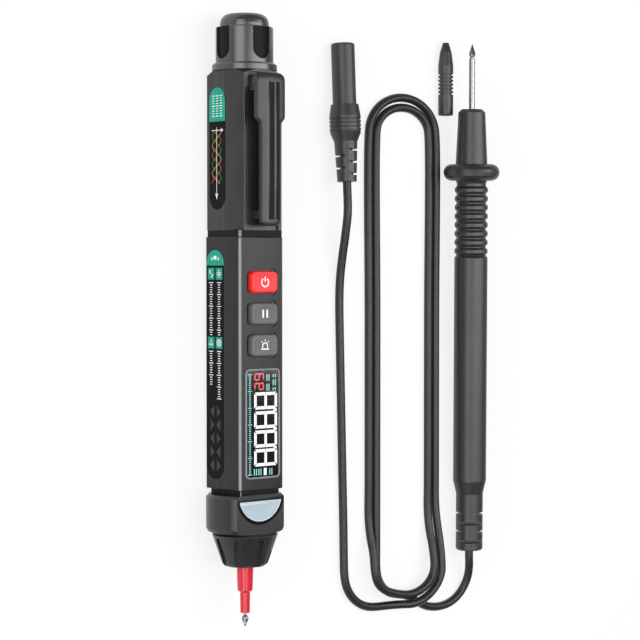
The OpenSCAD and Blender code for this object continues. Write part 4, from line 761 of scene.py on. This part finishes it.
bm = bmesh.new()
digit(bm, -3.6, 0.5, -16.9, -19.4, 0.5, skip=("d",))
digit(bm, -3.6, 0.5, -20.1, -22.6, 0.5, skip=("b",))
segment_red = overlay("segment_red", "#d8434a", "#e5525a", 0.2, coat=1.0)
make_piece(bm, "display_red_digits", segment_red, "meter")

bm = bmesh.new()
for i in range(49):
    reach = 0.42 if i % 8 else 0.85
    print_shape(bm, box_outline(-5.5, -17.3 - i * 0.7, reach, 0.17), on_window, 0, segment_lift)
unit_bars = ((2.2, -17.4, -19.6), (2.2, -20.6, -22.9), (4.9, -17.4, -18.5), (4.9, -19.2, -21.2),
             (4.9, -21.9, -22.9), (-3.2, -49, -51.2), (-1.3, -49, -51.2), (3.4, -49.1, -51.3))
for u, high, low in unit_bars:
    for step in (-0.45, 0.45):
        print_line(bm, [(u + step, high), (u + step, low)], 0.4, on_window, segment_lift)
segment_cyan = overlay("segment_cyan", "#7fc4c0", "#93d2ce", 0.2, coat=1.0)
make_piece(bm, "display_scale", segment_cyan, "meter")

# Collar: a black moulding plugged into the lower case, flattened in front for the signal lamp's lens, a
# pale half-moon of cloudy acrylic with a white rim, set in a gloss black surround.
collar_black = moulded("collar_black", "#1a1a1b", "#202021", 0.3, grain=0.15, depth=0.01, edge_highlight="#6a6a6d",
                       shine=0.5)
finish_node(collar_black, "shell", "collar")
lens_chord_y = -60.1
lens_half = 8.85
lens_deep = 6.9
lens_r = (lens_half ** 2 + lens_deep ** 2) / (2 * lens_deep)
lens_face = axis_z + 8.5


def half_moon(inset, n=40):
    """Outline of the lens, drawn in by a margin on its arc and its straight side."""
    r = lens_r - inset
    cy = lens_chord_y - lens_deep + lens_r
    chord = lens_chord_y - inset
    start = math.asin((chord - cy) / r)
    low, high = -math.pi - start, start
    turns = [low + (high - low) * i / n for i in range(n + 1)]
    return [(r * math.cos(a), cy + r * math.sin(a)) for a in turns]


def moon_ring(bm, steps):
    """A band between outlines of the lens, each drawn in by its own margin and at its own height."""
    rows = loft(bm, [[(x, y, z) for x, y in half_moon(inset)] for inset, z in steps], ends=False)
    bridge(bm, rows[-1], rows[0])


bm = bmesh.new()
loft(bm, [[(x, y, lens_face + z) for x, y in half_moon(i)]
          for i, z in ((0.42, -1.3), (0.42, 0.04), (0.55, 0.14), (0.9, 0.2), (2.2, 0.24))])
lens_cloud = moulded("lens_cloud", "#9fb0bb", "#a9b9c4", 0.12, grain=1.4, depth=0.004, edge_highlight="#e8eef2",
                     coat=0.6)
lens = make_piece(bm, "signal_lens_moon", lens_cloud, "meter", smooth=50)
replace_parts(lens, "signal_lens")
bm = bmesh.new()
moon_ring(bm, ((0, lens_face - 1.3), (0, lens_face + 0.12), (0.08, lens_face + 0.22), (0.3, lens_face + 0.22),
               (0.42, lens_face + 0.1), (0.42, lens_face - 1.3)))
rim_white = moulded("rim_white", "#c3c7c9", "#ccd0d2", 0.3, grain=0.3, depth=0.004)
make_piece(bm, "signal_lens_rim", rim_white, "meter")
bm = bmesh.new()
moon_ring(bm, ((-1.12, lens_face - 0.02), (-1.12, lens_face + 0.03), (-1.0, lens_face + 0.07),
               (-0.12, lens_face + 0.05), (-0.05, lens_face - 0.02)))
surround_gloss = overlay("surround_gloss", "#070707", "#0a0a0b", 0.25)
make_piece(bm, "signal_lens_surround", surround_gloss, "meter")

# Nose: a fluted cone in the collar's black plastic, fixed below it. A small torch lamp behind a clear
# moulded lens looks out of a notch in its side.
finish_node(collar_black, "shell", "nose_cone")
clear_lens, tree, skin = new_finish("clear_lens")
ripple = add_node(tree, "TexNoise", {"Scale": 1500})
ripple_bump = add_node(tree, "Bump", {"Distance": 0.01 * mm, "Height": ripple.outputs["Fac"]})
set_inputs(tree, skin, {"Normal": ripple_bump.outputs["Normal"], "Base Color": paint("#e9eff3"),
                        "Transmission Weight": 0.8, "Roughness": 0.05})
finish_node(clear_lens, "clear_lens", "torch_lens")

# Tip: a glossy red insulating sleeve, stepped down to a slim end, round a plated probe rod whose bulb
# is milled with four vanes. A spring behind it pushes it out.
sleeve_red = moulded("sleeve_red", "#c3142a", "#cf1d33", 0.22, grain=0.5, depth=0.004, edge_highlight="#f0626c",
                     coat=0.5)
finish_node(sleeve_red, "red_plastic", "tip_sleeve")
bright_metal = drawn_metal("bright_metal", "#8b8c90", 0.2)
finish_node(bright_metal, "bright_metal", "tip_rod")

# Test lead: 1.03 m of round PVC cable, 3.1 mm thick, that leaves the plug's boot, runs down beside the
# pen, makes two flat loops and ends in the probe's boot. It is soft, black and a little waxy.
lead_route = [
    (0.0496, 0.04886, 0.00661), (0.0496, 0.04576, 0.00676), (0.0496, 0.038, 0.007), (0.0497, 0.03, 0.0056),
    (0.0499, 0.022, 0.0037), (0.0501, 0.014, 0.0022), (0.0503, 0.006, 0.0016), (0.0505, -0.004, 0.00155),
    (0.0508, -0.016, 0.00155), (0.0511, -0.028, 0.00155), (0.0514, -0.04, 0.00155),
    (0.0517, -0.052, 0.00155), (0.052, -0.064, 0.00155), (0.0523, -0.076, 0.00155),
    (0.0525, -0.087, 0.00155), (0.0527, -0.092, 0.00155), (0.0537, -0.0966, 0.00155),
    (0.0562, -0.1006, 0.00155), (0.0598, -0.1035, 0.00155), (0.064, -0.1051, 0.00155),
    (0.0685, -0.1056, 0.00155), (0.073, -0.1057, 0.0016), (0.0764, -0.1057, 0.0022),
    (0.0796, -0.1057, 0.0034), (0.0828, -0.1057, 0.0048), (0.0863, -0.105, 0.0052),
    (0.0901, -0.1035, 0.0052), (0.0935, -0.1012, 0.0052), (0.096, -0.0983, 0.0052),
    (0.0974, -0.0948, 0.0052), (0.0975, -0.09, 0.005), (0.0974, -0.084, 0.0042), (0.0974, -0.078, 0.0029),
    (0.0974, -0.072, 0.0019), (0.0974, -0.066, 0.00155), (0.0974, -0.0631, 0.00155),
    # two loops, the second just inside the first
    (0.0974, -0.06, 0.00155), (0.0974, 0, 0.00155), (0.0974, 0.0672, 0.00155), (0.09659, 0.07131, 0.00155),
    (0.09425, 0.07502, 0.00155), (0.0906, 0.07796, 0.00155), (0.086, 0.07985, 0.00155),
    (0.0809, 0.0805, 0.00155), (0.0758, 0.07985, 0.00155), (0.0712, 0.07796, 0.00155),
    (0.06755, 0.07502, 0.00155), (0.06521, 0.07131, 0.00155), (0.0644, 0.0672, 0.00155),
    (0.0644, 0, 0.00155), (0.0644, -0.06, 0.00155), (0.0644, -0.0728, 0.00155), (0.0644, -0.0793, 0.00249),
    (0.0644, -0.0858, 0.00423), (0.0644, -0.0923, 0.00517), (0.06575, -0.09623, 0.00517),
    (0.06903, -0.09904, 0.00517), (0.07301, -0.10057, 0.00517), (0.07693, -0.10148, 0.00517),
    (0.0809, -0.10195, 0.00517), (0.08487, -0.10148, 0.00517), (0.08845, -0.10011, 0.00517),
    (0.0913, -0.09797, 0.00517), (0.09312, -0.09528, 0.00517), (0.09375, -0.0923, 0.00517),
    (0.09375, -0.0858, 0.00423), (0.09375, -0.0793, 0.00249), (0.09375, -0.0728, 0.00155),
    (0.09375, -0.06, 0.00155), (0.09375, 0, 0.00155), (0.09375, 0.0672, 0.00155),
    (0.09312, 0.07018, 0.00155), (0.0913, 0.07287, 0.00155), (0.08845, 0.07501, 0.00155),
    (0.08487, 0.07638, 0.00155), (0.0809, 0.07685, 0.00155), (0.07693, 0.07638, 0.00155),
    (0.07335, 0.07501, 0.00155), (0.0705, 0.07287, 0.00155), (0.06868, 0.07018, 0.00155),
    (0.06805, 0.0672, 0.00155), (0.06805, 0, 0.00155),
    # across to the probe
    (0.06805, -0.06, 0.00155), (0.06805, -0.0631, 0.00155), (0.06805, -0.066, 0.00155),
    (0.06805, -0.076, 0.00155), (0.06805, -0.086, 0.00155), (0.0681, -0.091, 0.00155),
    (0.0689, -0.0952, 0.00155), (0.0711, -0.0986, 0.00155), (0.0744, -0.101, 0.00155),
    (0.0783, -0.102, 0.00155), (0.082, -0.1027, 0.00155), (0.0854, -0.1041, 0.00155),
    (0.0889, -0.1061, 0.00155), (0.0926, -0.1078, 0.00155), (0.097, -0.1087, 0.00155),
    (0.1014, -0.1087, 0.00155), (0.1056, -0.1077, 0.00155), (0.1094, -0.1056, 0.0016),
    (0.1119, -0.1023, 0.0022), (0.1128, -0.0982, 0.0034), (0.1122, -0.0939, 0.0047),
    (0.11169, -0.09106, 0.00514), (0.1116, -0.08797, 0.00526),
]


def smooth_route(points, step=0.0012):
    """A smooth line through the route's points, with points of its own a little over a millimetre apart."""
    route = [Vector(p) for p in points]
    line = []
    for i in range(len(route) - 1):
        a, b = route[i], route[i + 1]
        before = route[i - 1] if i else a + (a - b)
        after = route[i + 2] if i + 2 < len(route) else b + (b - a)
        t1 = max((a - before).length, 1e-6) ** 0.5
        t2 = t1 + max((b - a).length, 1e-6) ** 0.5
        t3 = t2 + max((after - b).length, 1e-6) ** 0.5
        count = max(1, round((b - a).length / step))
        for k in range(count):
            t = t1 + (t2 - t1) * k / count
            p1 = before.lerp(a, t / t1)
            p2 = a.lerp(b, (t - t1) / (t2 - t1))
            p3 = b.lerp(after, (t - t2) / (t3 - t2))
            q1 = p1.lerp(p2, t / t2)
            q2 = p2.lerp(p3, (t - t1) / (t3 - t1))
            line.append(q1.lerp(q2, (t - t1) / (t2 - t1)))
    return line + [route[-1]]


lead_line = smooth_route(lead_route)
lead_curve = bpy.data.curves.new("lead_cable", "CURVE")
lead_curve.dimensions = "3D"
lead_spline = lead_curve.splines.new("POLY")
lead_spline.points.add(len(lead_line) - 1)
for point, place in zip(lead_spline.points, lead_line):
    point.co = (*place, 1)
lead_spline.use_smooth = True
lead_curve.bevel_depth = 1.55 * mm
lead_curve.bevel_resolution = 5
lead_curve.use_fill_caps = True
lead_black = moulded("lead_black", "#121213", "#161617", 0.42, grain=0.9, depth=0.006, edge=0.05,
                     edge_highlight="#1c1c1d", shine=0.5)
lead_curve.materials.append(lead_black)
lead_cable = bpy.data.objects.new("lead_cable", lead_curve)
bpy.context.scene.collection.objects.link(lead_cable)
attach(lead_cable, "lead")
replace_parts(lead_cable, "cord_to_plug", "cord_loops", "cord_to_probe")

# Plug: a hard shroud round a sprung 4 mm pin, over-moulded with a soft boot that has grip ribs and a
# slotted strain relief. Probe: an over-moulded handle with grip rings and a finger guard, the same kind
# of boot, and a plated needle with a bulb point. The loose tip cap is soft black PVC.
soft_black = moulded("soft_black", "#151516", "#1a1a1b", 0.42, grain=0.3, depth=0.008, edge_highlight="#5c5c5e",
                     shine=0.7)
finish_node(soft_black, "black_rubber", "plug_shroud", "plug_boot", "probe_handle", "probe_boot", "tip_cap")
plug_brass = drawn_metal("plug_brass", "#d8cba6", 0.2)
finish_node(plug_brass, "brass", "plug_pin")
finish_node(bright_metal, "bright_metal", "probe_needle")

# Table and light: a plain pale table, a long soft box overhead, a broad one low at the pen's left, and
# a small one to the right whose edge shows in the display's window. The camera looks at the pen's left
# edge from above.
bm = bmesh.new()
add_block(bm, (-2500, -2500, -20), (2500, 2500, 0))
table_mesh = to_mesh(bm, "table_top")
table_mesh.transform(Matrix.Scale(mm, 4))
table_white, tree, skin = new_finish("table_white")
set_inputs(tree, skin, {"Base Color": paint("#e6e6e6"), "Roughness": 0.8, "Specular IOR Level": 0.1})
glow = add_node(tree, "Emission", {"Strength": 1.0})
seen = add_node(tree, "LightPath", {})
in_metal = add_node(tree, "Math", {0: seen.outputs["Is Camera Ray"], 1: seen.outputs["Is Glossy Ray"]})
in_glass = add_node(tree, "Math", {0: in_metal.outputs["Value"], 1: seen.outputs["Is Transmission Ray"]})
share = add_node(tree, "Math", {0: in_glass.outputs["Value"], 1: 0.8}, operation="MULTIPLY", use_clamp=True)
lit = add_node(tree, "MixShader", {"Fac": share.outputs["Value"], 1: skin.outputs["BSDF"],
                                   2: glow.outputs["Emission"]})
tree.links.new(lit.outputs["Shader"], tree.nodes["Material Output"].inputs["Surface"])
table_mesh.materials.append(table_white)
table_top = bpy.data.objects.new("table_top", table_mesh)
bpy.context.scene.collection.objects.link(table_top)

world = bpy.data.worlds.new("studio")
bpy.context.scene.world = world
world.use_nodes = True
sky = world.node_tree.nodes["Background"]
set_inputs(world.node_tree, sky, {"Color": (1, 1, 1, 1), "Strength": 0.25})


def soft_box(name, place, aim, size_x, size_y, brightness, turn=0.0):
    """A rectangular lamp of even brightness, placed in metres and turned to face a point."""
    lamp = bpy.data.lights.new(name, "AREA")
    lamp.shape = "RECTANGLE"
    lamp.size = size_x
    lamp.size_y = size_y
    lamp.energy = brightness * math.pi * size_x * size_y
    piece = bpy.data.objects.new(name, lamp)
    bpy.context.scene.collection.objects.link(piece)
    piece.location = place
    facing = (Vector(aim) - Vector(place)).to_track_quat("-Z", "Y")
    piece.rotation_mode = "QUATERNION"
    piece.rotation_quaternion = facing @ Matrix.Rotation(math.radians(turn), 3, "Z").to_quaternion()


soft_box("overhead_box", (0.2, 0.05, 0.95), (0.03, 0, 0), 0.5, 1.6, 4.2)
soft_box("front_box", (-0.83, -0.03, 0.56), (0, 0, 0), 1.2, 0.66, 3)
soft_box("display_card", (0.3717, -0.0293, 0.4198), (0, -0.034, 0.021), 0.08, 0.08, 2.6, turn=31.7)

camera_data = bpy.data.cameras.new("camera")
camera_data.sensor_width = 36
camera_data.lens = 116.15625
camera_data.clip_start = 0.01
camera_data.clip_end = 10
camera = bpy.data.objects.new("camera", camera_data)
bpy.context.scene.collection.objects.link(camera)
camera.location = (-0.43041, 0.021, 0.56373)
look = Vector((0.64249, -0.0290, -0.76570)).normalized()
side_lean = math.radians(40)
right = Vector((math.cos(side_lean), 0, math.sin(side_lean)))
up = right.cross(look).normalized()
camera.rotation_mode = "QUATERNION"
camera.rotation_quaternion = Matrix((right, up, -look)).transposed().to_quaternion()
bpy.context.scene.camera = camera
bpy.context.scene.view_settings.view_transform = "Standard"
